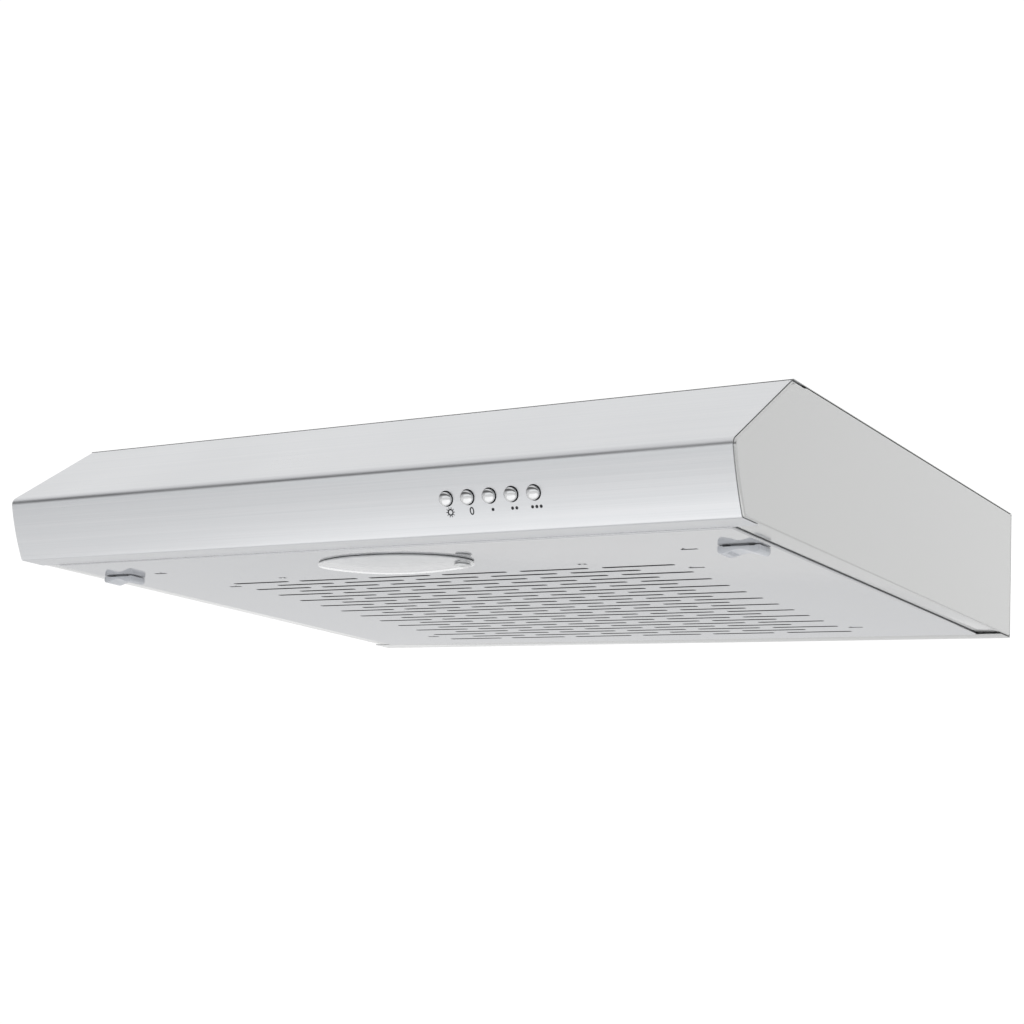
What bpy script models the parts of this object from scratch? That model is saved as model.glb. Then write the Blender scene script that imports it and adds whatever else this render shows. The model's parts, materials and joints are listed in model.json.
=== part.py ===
"""Under cabinet range hood, 60 cm wide.

A casing of folded sheets holds a duct collar with two damper flaps, a double inlet blower
and its motor, a lamp, a row of push buttons and a slotted filter panel that hinges down at
the rear. Metres, +Z up. The origin is the centre of the flat top face, +X points to the
right-hand end and the front faces -Y.
"""

import math

import bmesh
import bpy
from mathutils import Matrix, Vector

# Casing
HALF_WIDTH = 0.300
SHEET = 0.0006
GAP = 0.0003
LAP = SHEET + GAP
TOP_FRONT_Y = -0.198
BACK_Y = 0.198
CREASE = (-0.2716, -0.0547)
FOOT = (-0.255, -0.0970)
FRONT_BULGE = 0.0014
RETURN_END_Y = -0.2346
WRAP_HALF_WIDTH = 0.2982
COVER_HALF_WIDTH = 0.2998
SIDE_FOOT_Z = -0.0961
STRIP_Z = -0.09755
STRIP_FRONT_Y = 0.177
FLANGE = 0.0172

# Filter panel
PANEL_HALF_WIDTH = 0.2815
PANEL_FRONT_Y = -0.2342
PANEL_REAR_Y = 0.176
PANEL_Z = -0.0978
PANEL_LIP = 0.012
PANEL_PIVOT = (0.170, -0.092)
SLOT_LENGTH = 0.0550
SLOT_WIDTH = 0.0034
SLOT_PITCH_X = 0.0657
SLOT_PITCH_Y = 0.013
SLOT_ROWS = 23
FIRST_SLOT_Y = -0.138
LANCED_MARKS = ((0.2263, -0.1830), (0.2010, -0.1255), (0.2029, 0.1294),
                (-0.2195, -0.1888), (-0.1995, -0.1275), (-0.2000, 0.1330))
LANCED_LENGTH = 0.0118
LANCED_WIDTH = 0.0012
WIRE_X = 0.1302
WIRE_FRONT_Y = -0.1525
LATCH_Y = -0.1828

# Lamp
LAMP_CENTRE = (0.0, -0.186)
COVER_LENGTH_RADIUS = 0.0635
COVER_RATIO = 0.48
OPENING_RADII = (0.051, 0.0250)
COVER_HINGE = (-0.0632, -0.0984)
KNOB_X = 0.0575
BULB_Z = -0.074

# Duct and blower
OUTLET_Y = 0.095
COLLAR_RADIUS = 0.0597
COLLAR_BORE = 0.0575
COLLAR_FOOT = 0.0622
COLLAR_TOP = 0.032
FLAP_Z = 0.016
FLAP_RADIUS = 0.056
FLAP_OFFSET = 0.0032
FAN_AXIS = (0.070, -0.045)
FAN_RADIUS = 0.028
FAN_HALF_LENGTH = 0.046
FAN_BLADES = 20
SCROLL_START_RADIUS = 0.031
SCROLL_END_RADIUS = 0.042
SCROLL_START_ANGLE = math.radians(75)
SCROLL_HALF_LENGTH = 0.050
SCROLL_TOP = -0.0041
SHAFT_RADIUS = 0.003
MOTOR_FACE_X = 0.066
MOTOR_END_X = 0.112
MOTOR_RADIUS = 0.036
SCREW_CIRCLE = 0.0655
GROMMET = (-0.222, 0.172)
HANGING_X = 0.160
HANGING_Y = (-0.140, 0.130)

# Push buttons
BUTTON_NAMES = ("light_button", "off_button", "speed_1_button", "speed_2_button", "speed_3_button")
BUTTON_MIDDLE_X = 0.1305
BUTTON_PITCH = 0.01625
BUTTON_RADIUS = 0.0045
BUTTON_HOLE = 0.0049
BUTTON_HEIGHT_SHARE = 0.514

PARTS = None
CUTTERS = None
MATERIALS = {}


# Scene and materials

def clear_scene():
    for obj in list(bpy.data.objects):
        bpy.data.objects.remove(obj, do_unlink=True)


def new_collection(name):
    collection = bpy.data.collections.new(name)
    bpy.context.scene.collection.children.link(collection)
    return collection


def add_material(name, color, roughness, metallic, alpha=1.0):
    material = bpy.data.materials.new(name)
    material.use_nodes = True
    shader = material.node_tree.nodes["Principled BSDF"]
    shader.inputs["Base Color"].default_value = (*color, 1.0)
    shader.inputs["Roughness"].default_value = roughness
    shader.inputs["Metallic"].default_value = metallic
    shader.inputs["Alpha"].default_value = alpha
    MATERIALS[name] = material


def make_materials():
    add_material("brushed_steel", (0.62, 0.63, 0.65), 0.32, 1.0)
    add_material("side_paint", (0.60, 0.60, 0.60), 0.45, 0.2)
    add_material("panel_paint", (0.60, 0.61, 0.63), 0.28, 0.3)
    add_material("galvanised", (0.55, 0.56, 0.57), 0.45, 1.0)
    add_material("dark_steel", (0.25, 0.25, 0.26), 0.40, 1.0)
    add_material("chrome", (0.80, 0.80, 0.82), 0.10, 1.0)
    add_material("black_plastic", (0.03, 0.03, 0.03), 0.45, 0.0)
    add_material("white_plastic", (0.80, 0.80, 0.78), 0.40, 0.0)
    add_material("silver_plastic", (0.50, 0.52, 0.56), 0.35, 0.1)
    add_material("lamp_plastic", (0.80, 0.81, 0.82), 0.30, 0.0)
    add_material("lamp_glass", (0.90, 0.90, 0.88), 0.10, 0.0)
    add_material("filter_felt", (0.10, 0.10, 0.11), 0.95, 0.0)
    add_material("lead_sleeve", (0.45, 0.45, 0.46), 0.50, 0.0)
    add_material("rubber", (0.04, 0.04, 0.04), 0.70, 0.0)


# Placing objects

def place(obj, material, parent=None, matrix=None):
    """Links the object to the parts, gives it its material and puts it on its parent."""
    PARTS.objects.link(obj)
    if obj.type == "MESH":
        obj.data.shade_smooth()
        obj.data.set_sharp_from_angle(angle=math.radians(35))
    obj.data.materials.clear()
    obj.data.materials.append(MATERIALS[material])
    if matrix is not None:
        obj.matrix_world = matrix
    if parent is not None:
        obj.parent = parent
        obj.matrix_parent_inverse = parent.matrix_world.inverted()
    return obj


def helper(obj):
    """A shape that only cuts or joins."""
    CUTTERS.objects.link(obj)
    obj.hide_render = True
    obj.display_type = "WIRE"
    return obj


def axis_empty(name, location, parent=None):
    """Marks a joint's axis, and carries the pieces that move on it."""
    empty = bpy.data.objects.new(name, None)
    empty.empty_display_size = 0.01
    PARTS.objects.link(empty)
    empty.matrix_world = Matrix.Translation(location)
    if parent is not None:
        empty.parent = parent
        empty.matrix_parent_inverse = parent.matrix_world.inverted()
    bpy.context.view_layer.update()
    return empty


def mesh_object(name, shape):
    mesh = bpy.data.meshes.new(name)
    shape.to_mesh(mesh)
    shape.free()
    return bpy.data.objects.new(name, mesh)


def about_x_axis(x, y, z):
    """Puts a shape turned about Z on an axis along X through the point."""
    return Matrix.Translation((x, y, z)) @ Matrix.Rotation(math.radians(90), 4, "Y")


# Shapes

def box_shape(low, high):
    shape = bmesh.new()
    bmesh.ops.create_cube(shape, size=1.0)
    size = [b - a for a, b in zip(low, high)]
    middle = [(a + b) / 2 for a, b in zip(low, high)]
    bmesh.ops.scale(shape, vec=size, verts=shape.verts)
    bmesh.ops.translate(shape, vec=middle, verts=shape.verts)
    return shape


def box(name, low, high):
    return mesh_object(name, box_shape(low, high))


def cylinder(name, radius, low, high, segments=16):
    """A round bar between two points."""
    start = Vector(low)
    along = Vector(high) - start
    shape = bmesh.new()
    bmesh.ops.create_cone(shape, cap_ends=True, segments=segments, radius1=radius,
                          radius2=radius, depth=along.length)
    turn = along.to_track_quat("Z", "Y").to_matrix().to_4x4()
    shape.transform(Matrix.Translation(start + along / 2) @ turn)
    return mesh_object(name, shape)


def cut(target, *others):
    for other in others:
        change = target.modifiers.new("cut_" + other.name, "BOOLEAN")
        change.operation = "DIFFERENCE"
        change.solver = "EXACT"
        change.object = other
    return target


def join(target, *others):
    for other in others:
        change = target.modifiers.new("join_" + other.name, "BOOLEAN")
        change.operation = "UNION"
        change.solver = "EXACT"
        change.object = other
    return target


def turned(name, profile, steps=24):
    """A shape turned about Z. A ring's profile ends where it starts."""
    closed = profile[0] == profile[-1]
    shape = bmesh.new()
    points = profile[:-1] if closed else profile
    verts = [shape.verts.new((radius, 0.0, z)) for radius, z in points]
    for a, b in zip(verts, verts[1:]):
        shape.edges.new((a, b))
    if closed:
        shape.edges.new((verts[-1], verts[0]))
    obj = mesh_object(name, shape)
    screw = obj.modifiers.new("turn", "SCREW")
    screw.axis = "Z"
    screw.angle = math.tau
    screw.steps = steps
    screw.render_steps = steps
    screw.use_merge_vertices = True
    screw.merge_threshold = 0.00001
    screw.use_smooth_shade = True
    return obj


def circle(x, y, radius, count=24, radius_y=None):
    """Points round a circle, or round an ellipse when a second radius is given."""
    other = radius if radius_y is None else radius_y
    turns = [math.tau * (i + 0.5) / count for i in range(count)]
    return [(x + radius * math.cos(t), y + other * math.sin(t)) for t in turns]


def rectangle(x_low, y_low, x_high, y_high):
    return [(x_low, y_low), (x_high, y_low), (x_high, y_high), (x_low, y_high)]


def flat_plate(name, outlines, thickness):
    """A plate in the XY plane, centred on z = 0: the first outline, less the others."""
    curve = bpy.data.curves.new(name, "CURVE")
    curve.dimensions = "2D"
    curve.fill_mode = "BOTH"
    curve.extrude = thickness / 2
    for outline in outlines:
        spline = curve.splines.new("POLY")
        spline.points.add(len(outline) - 1)
        for point, (x, y) in zip(spline.points, outline):
            point.co = (x, y, 0.0, 1.0)
        spline.use_cyclic_u = True
    return bpy.data.objects.new(name, curve)


def as_mesh(obj):
    """Turns a curve object into a closed mesh object that Booleans can work on."""
    bpy.context.scene.collection.objects.link(obj)
    bpy.context.view_layer.update()
    graph = bpy.context.evaluated_depsgraph_get()
    mesh = bpy.data.meshes.new_from_object(obj.evaluated_get(graph))
    shape = bmesh.new()
    shape.from_mesh(mesh)
    bmesh.ops.remove_doubles(shape, verts=shape.verts, dist=0.000001)
    bmesh.ops.recalc_face_normals(shape, faces=shape.faces)
    shape.to_mesh(mesh)
    shape.free()
    name = obj.name
    matrix = obj.matrix_world.copy()
    bpy.data.objects.remove(obj, do_unlink=True)
    made = bpy.data.objects.new(name, mesh)
    made.matrix_world = matrix
    return made


def tube(name, points, radius, resolution=1):
    """A wire or a lead along the points."""
    curve = bpy.data.curves.new(name, "CURVE")
    curve.dimensions = "3D"
    curve.bevel_depth = radius
    curve.bevel_resolution = resolution
    curve.use_fill_caps = True
    spline = curve.splines.new("POLY")
    spline.points.add(len(points) - 1)
    for point, place_at in zip(spline.points, points):
        point.co = (*place_at, 1.0)
    return bpy.data.objects.new(name, curve)


def smooth_route(corners, steps=3):
    """A line through the corners: Catmull-Rom spans between a straight first and last span."""
    ends = [Vector(corner) for corner in corners]
    route = [ends[0]]
    last = ends[-1]
    ends = ends[1:-1]
    ends = [2 * ends[0] - ends[1]] + ends + [2 * ends[-1] - ends[-2]]
    for a, b, c, d in zip(ends, ends[1:], ends[2:], ends[3:]):
        for i in range(steps):
            t = i / steps
            route.append(0.5 * (2 * b + (c - a) * t + (2 * a - 5 * b + 4 * c - d) * t ** 2
                                + (3 * b - a - 3 * c + d) * t ** 3))
    return route + [ends[-2], last]


# Bent sheets

def rounded(points, radii, steps=4):
    """The path with an arc of each radius at its corner."""
    made = [Vector(points[0])]
    for before, corner, after, radius in zip(points, points[1:], points[2:], radii[1:]):
        corner = Vector(corner)
        if radius == 0:
            made.append(corner)
            continue
        back = (Vector(before) - corner).normalized()
        onward = (Vector(after) - corner).normalized()
        half = back.angle(onward) / 2
        centre = corner + (back + onward).normalized() * radius / math.sin(half)
        start = corner + back * radius / math.tan(half) - centre
        end = corner + onward * radius / math.tan(half) - centre
        sweep = math.atan2(start.x * end.y - start.y * end.x, start.dot(end))
        for i in range(steps + 1):
            turn = Matrix.Rotation(sweep * i / steps, 2)
            made.append(centre + turn @ start)
    made.append(Vector(points[-1]))
    return made


def shifted(path, distance):
    """The path moved to its own left, with its corners kept sharp."""
    sides = []
    for a, b in zip(path, path[1:]):
        along = (b - a).normalized()
        sides.append(Vector((-along.y, along.x)))
    sides = [sides[0]] + sides + [sides[-1]]
    made = []
    for point, before, after in zip(path, sides, sides[1:]):
        bisector = (before + after).normalized()
        made.append(point + bisector * distance / bisector.dot(after))
    return made


def bent_sheet(name, path, x_low, x_high, thick_left=True, thickness=SHEET):
    """A sheet bent along a (y, z) path and as long as from x_low to x_high."""
    shape = bmesh.new()
    verts = [shape.verts.new((x_low, point[0], point[1])) for point in path]
    edges = [shape.edges.new((a, b)) for a, b in zip(verts, verts[1:])]
    made = bmesh.ops.extrude_edge_only(shape, edges=edges)["geom"]
    far = [item for item in made if isinstance(item, bmesh.types.BMVert)]
    bmesh.ops.translate(shape, vec=(x_high - x_low, 0, 0), verts=far)
    bmesh.ops.recalc_face_normals(shape, faces=shape.faces)
    shape.faces.ensure_lookup_table()
    shape.normal_update()
    face = min(shape.faces, key=lambda item: (item.calc_center_median()
                                              - (verts[0].co + verts[1].co) / 2).length)
    along = verts[1].co - verts[0].co
    outward = Vector((0, along.z, -along.y))
    if not thick_left:
        outward = -outward
    if face.normal.dot(outward) < 0:
        bmesh.ops.reverse_faces(shape, faces=shape.faces)
    obj = mesh_object(name, shape)
    thicken(obj, thickness)
    return obj


def thicken(obj, thickness=SHEET):
    """Gives an open surface its thickness, away from the side that its faces look to."""
    solid = obj.modifiers.new("thickness", "SOLIDIFY")
    solid.thickness = thickness
    solid.offset = -1
    solid.use_even_offset = True
    return obj


def front_path():
    """The front wrap's outer surface: top flange, slant, bend, convex front, return."""
    slope = (CREASE[0] - TOP_FRONT_Y) / CREASE[1]
    top_corner = (TOP_FRONT_Y - slope * LAP, -LAP)
    chord = Vector(FOOT) - Vector(CREASE)
    outward = Vector((chord.y, -chord.x)).normalized()
    bulge = []
    for share in (0.2, 0.4, 0.6, 0.8):
        bulge.append(Vector(CREASE) + chord * share + outward * FRONT_BULGE * 4 * share * (1 - share))
    points = [(-0.184, -LAP), top_corner, CREASE, *bulge, FOOT, (RETURN_END_Y, FOOT[1])]
    radii = [0, 0.001, 0.006, 0, 0, 0, 0, 0.0022, 0]
    return rounded(points, radii)


# Face frame: the middle of the button row, x along the hood, y into it, z up the face

def face_frame():
    foot = Vector(FOOT)
    crease = Vector(CREASE)
    up = (crease - foot).normalized()
    outward = Vector((-up.y, up.x))
    if outward.x > 0:
        outward = -outward
    middle = foot + (crease - foot) * BUTTON_HEIGHT_SHARE + outward * FRONT_BULGE
    tilt = math.atan2(-outward.y, -outward.x)
    turn = Matrix.Rotation(tilt, 4, "X")
    return Matrix.Translation((BUTTON_MIDDLE_X, middle.x, middle.y)) @ turn


def button_offsets():
    return [BUTTON_PITCH * (i - 2) for i in range(len(BUTTON_NAMES))]


# Casing

def make_front_wrap():
    wrap = bent_sheet("front_wrap", front_path(), -WRAP_HALF_WIDTH, WRAP_HALF_WIDTH)
    frame = face_frame()
    for i, x in enumerate(button_offsets()):
        hole = cylinder(f"button_hole_{i}", BUTTON_HOLE, (x, -0.01, 0), (x, 0.01, 0), 20)
        hole.matrix_world = frame
        cut(wrap, helper(hole))
    place(wrap, "brushed_steel")


def keyhole(x, y):
    """A slot that a hanging screw slides along, with a wide round end for its head."""
    wide = [(x + 0.005 * math.cos(t), y + 0.005 * math.sin(t))
            for t in [math.radians(a) for a in range(-240, 61, 30)]]
    return wide + [(x + 0.0025, y + 0.012), (x, y + 0.0135), (x - 0.0025, y + 0.012)]


def make_top_panel():
    outline = rectangle(-COVER_HALF_WIDTH, TOP_FRONT_Y - 0.0003, COVER_HALF_WIDTH, BACK_Y)
    holes = [circle(0, OUTLET_Y, 0.0603, 40)]
    holes += [keyhole(x, y) for x in (-HANGING_X, HANGING_X) for y in HANGING_Y]
    holes.append(circle(*GROMMET, 0.0078, 16))
    holes += [circle(x, y, 0.0018, 8) for x, y in collar_screw_places()]
    panel = flat_plate("top_panel", [outline, *holes], SHEET)
    place(panel, "side_paint", matrix=Matrix.Translation((0, 0, -SHEET / 2)))


def side_outline():
    """The side panel's edge: behind the front wrap, under the top, inside the back."""
    front = shifted(front_path(), LAP)[:-1]
    rear = BACK_Y - LAP
    head = rounded([(-0.1836, -2 * LAP), (-0.1830, -LAP), (rear, -LAP), (rear, SIDE_FOOT_Z),
                    (-0.22, SIDE_FOOT_Z)], [0, 0, 0.0025, 0.0025, 0], 2)
    return list(reversed(head[:-1])) + front


def make_side_panel(name, side):
    shape = bmesh.new()
    verts = [shape.verts.new((side * HALF_WIDTH, point[0], point[1])) for point in side_outline()]
    shape.faces.new(verts)
    made = bmesh.ops.extrude_edge_only(shape, edges=list(shape.edges))["geom"]
    inner = [item for item in made if isinstance(item, bmesh.types.BMVert)]
    bmesh.ops.translate(shape, vec=(-side * FLANGE, 0, 0), verts=inner)
    bmesh.ops.recalc_face_normals(shape, faces=shape.faces)
    shape.faces.ensure_lookup_table()
    widest = max(shape.faces, key=lambda face: face.calc_area())
    if widest.normal.x * side < 0:
        bmesh.ops.reverse_faces(shape, faces=shape.faces)
    panel = thicken(mesh_object(name, shape))
    place(panel, "side_paint")


def make_back_panel():
    path = rounded([(BACK_Y, -LAP), (BACK_Y, STRIP_Z), (STRIP_FRONT_Y, STRIP_Z)], [0, 0.001, 0], 2)
    back = bent_sheet("back_panel", path, -COVER_HALF_WIDTH, COVER_HALF_WIDTH, thick_left=False)
    place(back, "panel_paint")


# Duct collar and damper

def collar_screw_places():
    reach = SCREW_CIRCLE * math.sqrt(0.5)
    return [(x, OUTLET_Y + y) for x in (-reach, reach) for y in (-reach, reach)]


def make_outlet_collar():
    """The round outlet, with a narrow foot that its ring clamps."""
    under = -LAP - 0.0012
    low = -LAP - 0.0020
    profile = [(COLLAR_RADIUS, COLLAR_TOP), (COLLAR_RADIUS, under), (COLLAR_FOOT, under),
               (COLLAR_FOOT, low), (COLLAR_BORE, low), (COLLAR_BORE, COLLAR_TOP),
               (COLLAR_RADIUS, COLLAR_TOP)]
    collar = turned("outlet_collar", profile, 32)
    place(collar, "black_plastic", matrix=Matrix.Translation((0, OUTLET_Y, 0)))


def make_collar_ring():
    """The flat ring between the top and the collar's foot."""
    screws = [circle(x, y - OUTLET_Y, 0.0018, 8) for x, y in collar_screw_places()]
    ring = flat_plate("collar_ring", [circle(0, 0, 0.0710, 32), circle(0, 0, 0.0602, 32), *screws],
                      0.0009)
    place(ring, "galvanised", matrix=Matrix.Translation((0, OUTLET_Y, -LAP - 0.00045)))


def make_collar_screws():
    profile = [(0.0, -0.0002), (0.0014, -0.0002), (0.0014, -0.0041), (0.0030, -0.0041),
               (0.0026, -0.0057), (0.0, -0.0060)]
    for i, (x, y) in enumerate(collar_screw_places()):
        screw = turned(f"collar_screw_{i + 1}", profile, 10)
        place(screw, "dark_steel", matrix=Matrix.Translation((x, y, 0)))


def make_damper_flap(name, direction, knuckles, parent):
    """A half disc on the pin; direction is -1 for the front flap and +1 for the rear one."""
    first = math.asin(FLAP_OFFSET / FLAP_RADIUS)
    sweep = math.pi - 2 * first
    count = 16
    arc = [first + sweep * i / count for i in range(count + 1)]
    outline = [(FLAP_RADIUS * math.cos(a), direction * FLAP_RADIUS * math.sin(a)) for a in arc]
    flap = as_mesh(flat_plate(name, [outline], 0.0010))
    for i, (low, high) in enumerate(knuckles):
        sleeve = cylinder(f"{name}_sleeve_{i}", 0.0027, (low, 0, 0), (high, 0, 0), 12)
        reach = sorted((direction * 0.0020, direction * 0.0050))
        web = box(f"{name}_web_{i}", (low, reach[0], -0.0007), (high, reach[1], 0.0007))
        join(flap, helper(web), helper(sleeve))
        for item in (sleeve, web):
            item.matrix_world = parent.matrix_world
    bore = cylinder(f"{name}_bore", 0.0015, (-0.06, 0, 0), (0.06, 0, 0), 12)
    bore.matrix_world = parent.matrix_world
    cut(flap, helper(bore))
    place(flap, "black_plastic", parent, parent.matrix_world)


def make_damper():
    axis = axis_empty("damper_axis", (0, OUTLET_Y, FLAP_Z))
    pin = cylinder("damper_pin", 0.0012, (-0.0571, OUTLET_Y, FLAP_Z), (0.0571, OUTLET_Y, FLAP_Z), 10)
    place(pin, "dark_steel")
    make_damper_flap("damper_flap_front", -1, [(-0.040, -0.025), (0.025, 0.040)], axis)
    make_damper_flap("damper_flap_rear", 1, [(-0.015, 0.015)], axis)


# Blower

def make_outlet_plate():
    hole = rectangle(-0.0515, 0.0770, 0.0515, 0.1130)
    screws = [circle(x, y, 0.0018, 8) for x, y in collar_screw_places()]
    outline = rectangle(-0.0740, OUTLET_Y - 0.0740, 0.0740, OUTLET_Y + 0.0740)
    plate = flat_plate("blower_outlet_plate", [outline, hole, *screws], SHEET)
    place(plate, "galvanised", matrix=Matrix.Translation((0, 0, -0.0035)))


def scroll_path():
    """The scroll's inner surface: down the cut-off wall, round the spiral and up again."""
    y, z = FAN_AXIS
    sweep = math.tau - SCROLL_START_ANGLE
    count = 26
    spiral = []
    for i in range(count + 1):
        share = i / count
        radius = SCROLL_START_RADIUS + (SCROLL_END_RADIUS - SCROLL_START_RADIUS) * share
        angle = SCROLL_START_ANGLE + sweep * share
        spiral.append((y + radius * math.cos(angle), z + radius * math.sin(angle)))
    tongue_y = spiral[0][0]
    points = [(tongue_y, SCROLL_TOP), *spiral, (spiral[-1][0], SCROLL_TOP)]
    radii = [0, 0.002] + [0] * (len(points) - 2)
    return rounded(points, radii, 3)


def make_scroll():
    scroll = bent_sheet("blower_scroll", scroll_path(), -SCROLL_HALF_LENGTH, SCROLL_HALF_LENGTH,
                        thick_left=False, thickness=0.0008)
    place(scroll, "galvanised")


def make_scroll_side(name, side):
    """The scroll's end plate, with the round inlet."""
    edge = shifted(scroll_path(), -0.0016)
    outline = [(-point.y, point.x) for point in edge]
    y, z = FAN_AXIS
    inlet = circle(-z, y, 0.022, 28)
    plate = flat_plate(name, [outline, inlet], 0.0008)
    middle = side * (SCROLL_HALF_LENGTH + GAP + 0.0004)
    place(plate, "galvanised",
          matrix=Matrix.Translation((middle, 0, 0)) @ Matrix.Rotation(math.radians(90), 4, "Y"))


def make_impeller(parent):
    hub = [(0.0070, 0.008), (0.0070, 0.0006), (0.0270, 0.0006), (0.0270, -0.0006),
           (0.0070, -0.0006), (0.0070, -0.008), (0.0033, -0.008), (0.0033, 0.008), (0.0070, 0.008)]
    impeller = turned("impeller", hub, 32)
    ends = []
    for i, side in enumerate((-1, 1)):
        low = side * FAN_HALF_LENGTH - 0.00075
        ring = [(FAN_RADIUS, low + 0.0015), (FAN_RADIUS, low), (0.0215, low),
                (0.0215, low + 0.0015), (FAN_RADIUS, low + 0.0015)]
        ends.append(helper(turned(f"fan_ring_{i}", ring, 32)))
    blades = bmesh.new()
    for i in range(FAN_BLADES):
        blade = bmesh.ops.create_cube(blades, size=1.0)["verts"]
        bmesh.ops.scale(blades, vec=(0.0056, 0.0008, 2 * FAN_HALF_LENGTH), verts=blade)
        bmesh.ops.rotate(blades, matrix=Matrix.Rotation(math.radians(35), 3, "Z"), verts=blade)
        bmesh.ops.translate(blades, vec=(0.0245, 0, 0), verts=blade)
        turn = Matrix.Rotation(math.tau * i / FAN_BLADES, 3, "Z")
        bmesh.ops.rotate(blades, matrix=turn, verts=blade)
    cage = helper(mesh_object("fan_blades", blades))
    frame = about_x_axis(0, *FAN_AXIS)
    for item in (cage, *ends):
        item.matrix_world = frame
    join(impeller, cage, *ends)
    place(impeller, "black_plastic", parent, frame)


def make_motor_shaft(parent):
    shaft = cylinder("motor_shaft", SHAFT_RADIUS, (-0.012, *FAN_AXIS), (0.1215, *FAN_AXIS), 16)
    place(shaft, "chrome", parent)


def make_motor():
    bore = SHAFT_RADIUS + GAP
    front = MOTOR_FACE_X
    back = MOTOR_END_X
    profile = [(0.0090, back + 0.006), (0.0090, back), (0.0300, back), (MOTOR_RADIUS, back - 0.005),
               (MOTOR_RADIUS, front + 0.005), (0.0300, front), (0.0090, front),
               (0.0090, front - 0.004), (bore, front - 0.004), (bore, back + 0.006),
               (0.0090, back + 0.006)]
    motor = turned("motor_body", profile, 28)
    place(motor, "dark_steel", matrix=about_x_axis(0, *FAN_AXIS))


def make_motor_bracket():
    """An angle that hangs from the top and holds the motor by its end."""
    face = MOTOR_END_X + GAP
    top = -2 * LAP - GAP
    path = rounded([(face, -0.080), (face, top), (face + 0.030, top)], [0, 0.002, 0], 3)
    bracket = bent_sheet("motor_bracket", path, -0.035, 0.035, thickness=0.0012, thick_left=False)
    for i, (y, z) in enumerate(motor_nut_places()):
        hole = cylinder(f"nut_hole_{i}", 0.0023, (0.10, y, z), (0.13, y, z), 10)
        cut(bracket, helper(hole))
    hub = cylinder("motor_boss_hole", 0.0096, (0.10, *FAN_AXIS), (0.13, *FAN_AXIS), 20)
    cut(bracket, helper(hub))
    turn = Matrix.Rotation(math.radians(-90), 4, "Z")
    place(bracket, "galvanised", matrix=Matrix.Translation((0, FAN_AXIS[0], 0)) @ turn)


def motor_nut_places():
    y, z = FAN_AXIS
    return [(y - 0.022, z), (y + 0.022, z)]


def make_motor_nuts():
    """The nuts on the motor's two studs, behind the bracket."""
    start = MOTOR_END_X + GAP
    profile = [(0.0, start + 0.0052), (0.0038, start + 0.0052), (0.0038, start + 0.0015),
               (0.0018, start + 0.0015), (0.0018, start), (0.0, start)]
    for i, (y, z) in enumerate(motor_nut_places()):
        nut = turned(f"motor_nut_{i + 1}", profile, 6)
        place(nut, "chrome", matrix=about_x_axis(0, y, z))


def make_capacitor():
    profile = [(0.0, 0.028), (0.0140, 0.028), (0.0150, 0.027), (0.0150, -0.027), (0.0140, -0.028),
               (0.0, -0.028)]
    body = turned("capacitor", profile, 20)
    lie = Matrix.Translation((0.190, 0.070, -0.0185)) @ Matrix.Rotation(math.radians(90), 4, "X")
    place(body, "white_plastic", matrix=lie)
    top = -2 * LAP - GAP
    radius = 0.0150 + 2 * GAP
    under = [math.pi + math.pi * i / 12 for i in range(13)]
    bend = [(0.190 + radius * math.cos(a), -0.0185 + radius * math.sin(a)) for a in under]
    path = [(0.190 - 0.026, top), (bend[0][0], top), *bend, (bend[-1][0], top), (0.190 + 0.026, top)]
    path = [Vector(point) for point in path]
    clip = bent_sheet("capacitor_clip", path, -0.007, 0.007, thick_left=False, thickness=0.0010)
    turn = Matrix.Rotation(math.radians(-90), 4, "Z")
    place(clip, "galvanised", matrix=Matrix.Translation((0, 0.070, 0)) @ turn)


# Electrics

def open_box(name, low, high, thickness, open_faces):
    """A thin box without the faces that look along the given directions."""
    shape = box_shape(low, high)
    shape.normal_update()
    gone = []
    for face in shape.faces:
        if any(face.normal.dot(Vector(direction)) > 0.9 for direction in open_faces):
            gone.append(face)
    bmesh.ops.delete(shape, geom=gone, context="FACES")
    return thicken(mesh_object(name, shape), thickness)


def make_terminal_box():
    low = (-0.262, 0.092, -0.042)
    high = (-0.182, 0.152, -0.0021)
    case = open_box("terminal_box", low, high, 0.002, [(0, 0, -1)])
    place(case, "black_plastic")
    lid = box("terminal_box_lid", (low[0], low[1], -0.0443), (high[0], high[1], -0.0423))
    place(lid, "black_plastic")


def make_cable_grommet():
    """The rubber ring that the supply lead leaves by."""
    profile = [(0.0100, 0.0015), (0.0100, 0.0003), (0.0074, 0.0003), (0.0074, -0.0009),
               (0.0100, -0.0009), (0.0100, -0.0028), (0.0045, -0.0028), (0.0045, 0.0015),
               (0.0100, 0.0015)]
    ring = turned("cable_grommet", profile, 20)
    place(ring, "rubber", matrix=Matrix.Translation((*GROMMET, 0)))


def make_switch_block():
    frame = face_frame()
    block = box("switch_block", (-0.041, 0.009, -0.010), (0.041, 0.027, 0.010))
    for i, x in enumerate(button_offsets()):
        bore = cylinder(f"switch_bore_{i}", 0.0024, (x, 0.005, 0), (x, 0.0205, 0), 10)
        bore.matrix_world = frame
        cut(block, helper(bore))
    place(block, "black_plastic", matrix=frame)


def make_switch_bracket():
    """A channel that holds the switch block behind the front."""
    back = 0.0273
    path = rounded([(-0.046, 0.0022), (-0.046, back), (0.046, back), (0.046, 0.0022)],
                   [0, 0.002, 0.002, 0], 3)
    bracket = bent_sheet("switch_bracket", path, -0.008, 0.008, thickness=0.0010)
    turn = Matrix(((0, 1, 0, 0), (0, 0, 1, 0), (1, 0, 0, 0), (0, 0, 0, 1)))
    place(bracket, "galvanised", matrix=face_frame() @ turn)


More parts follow.
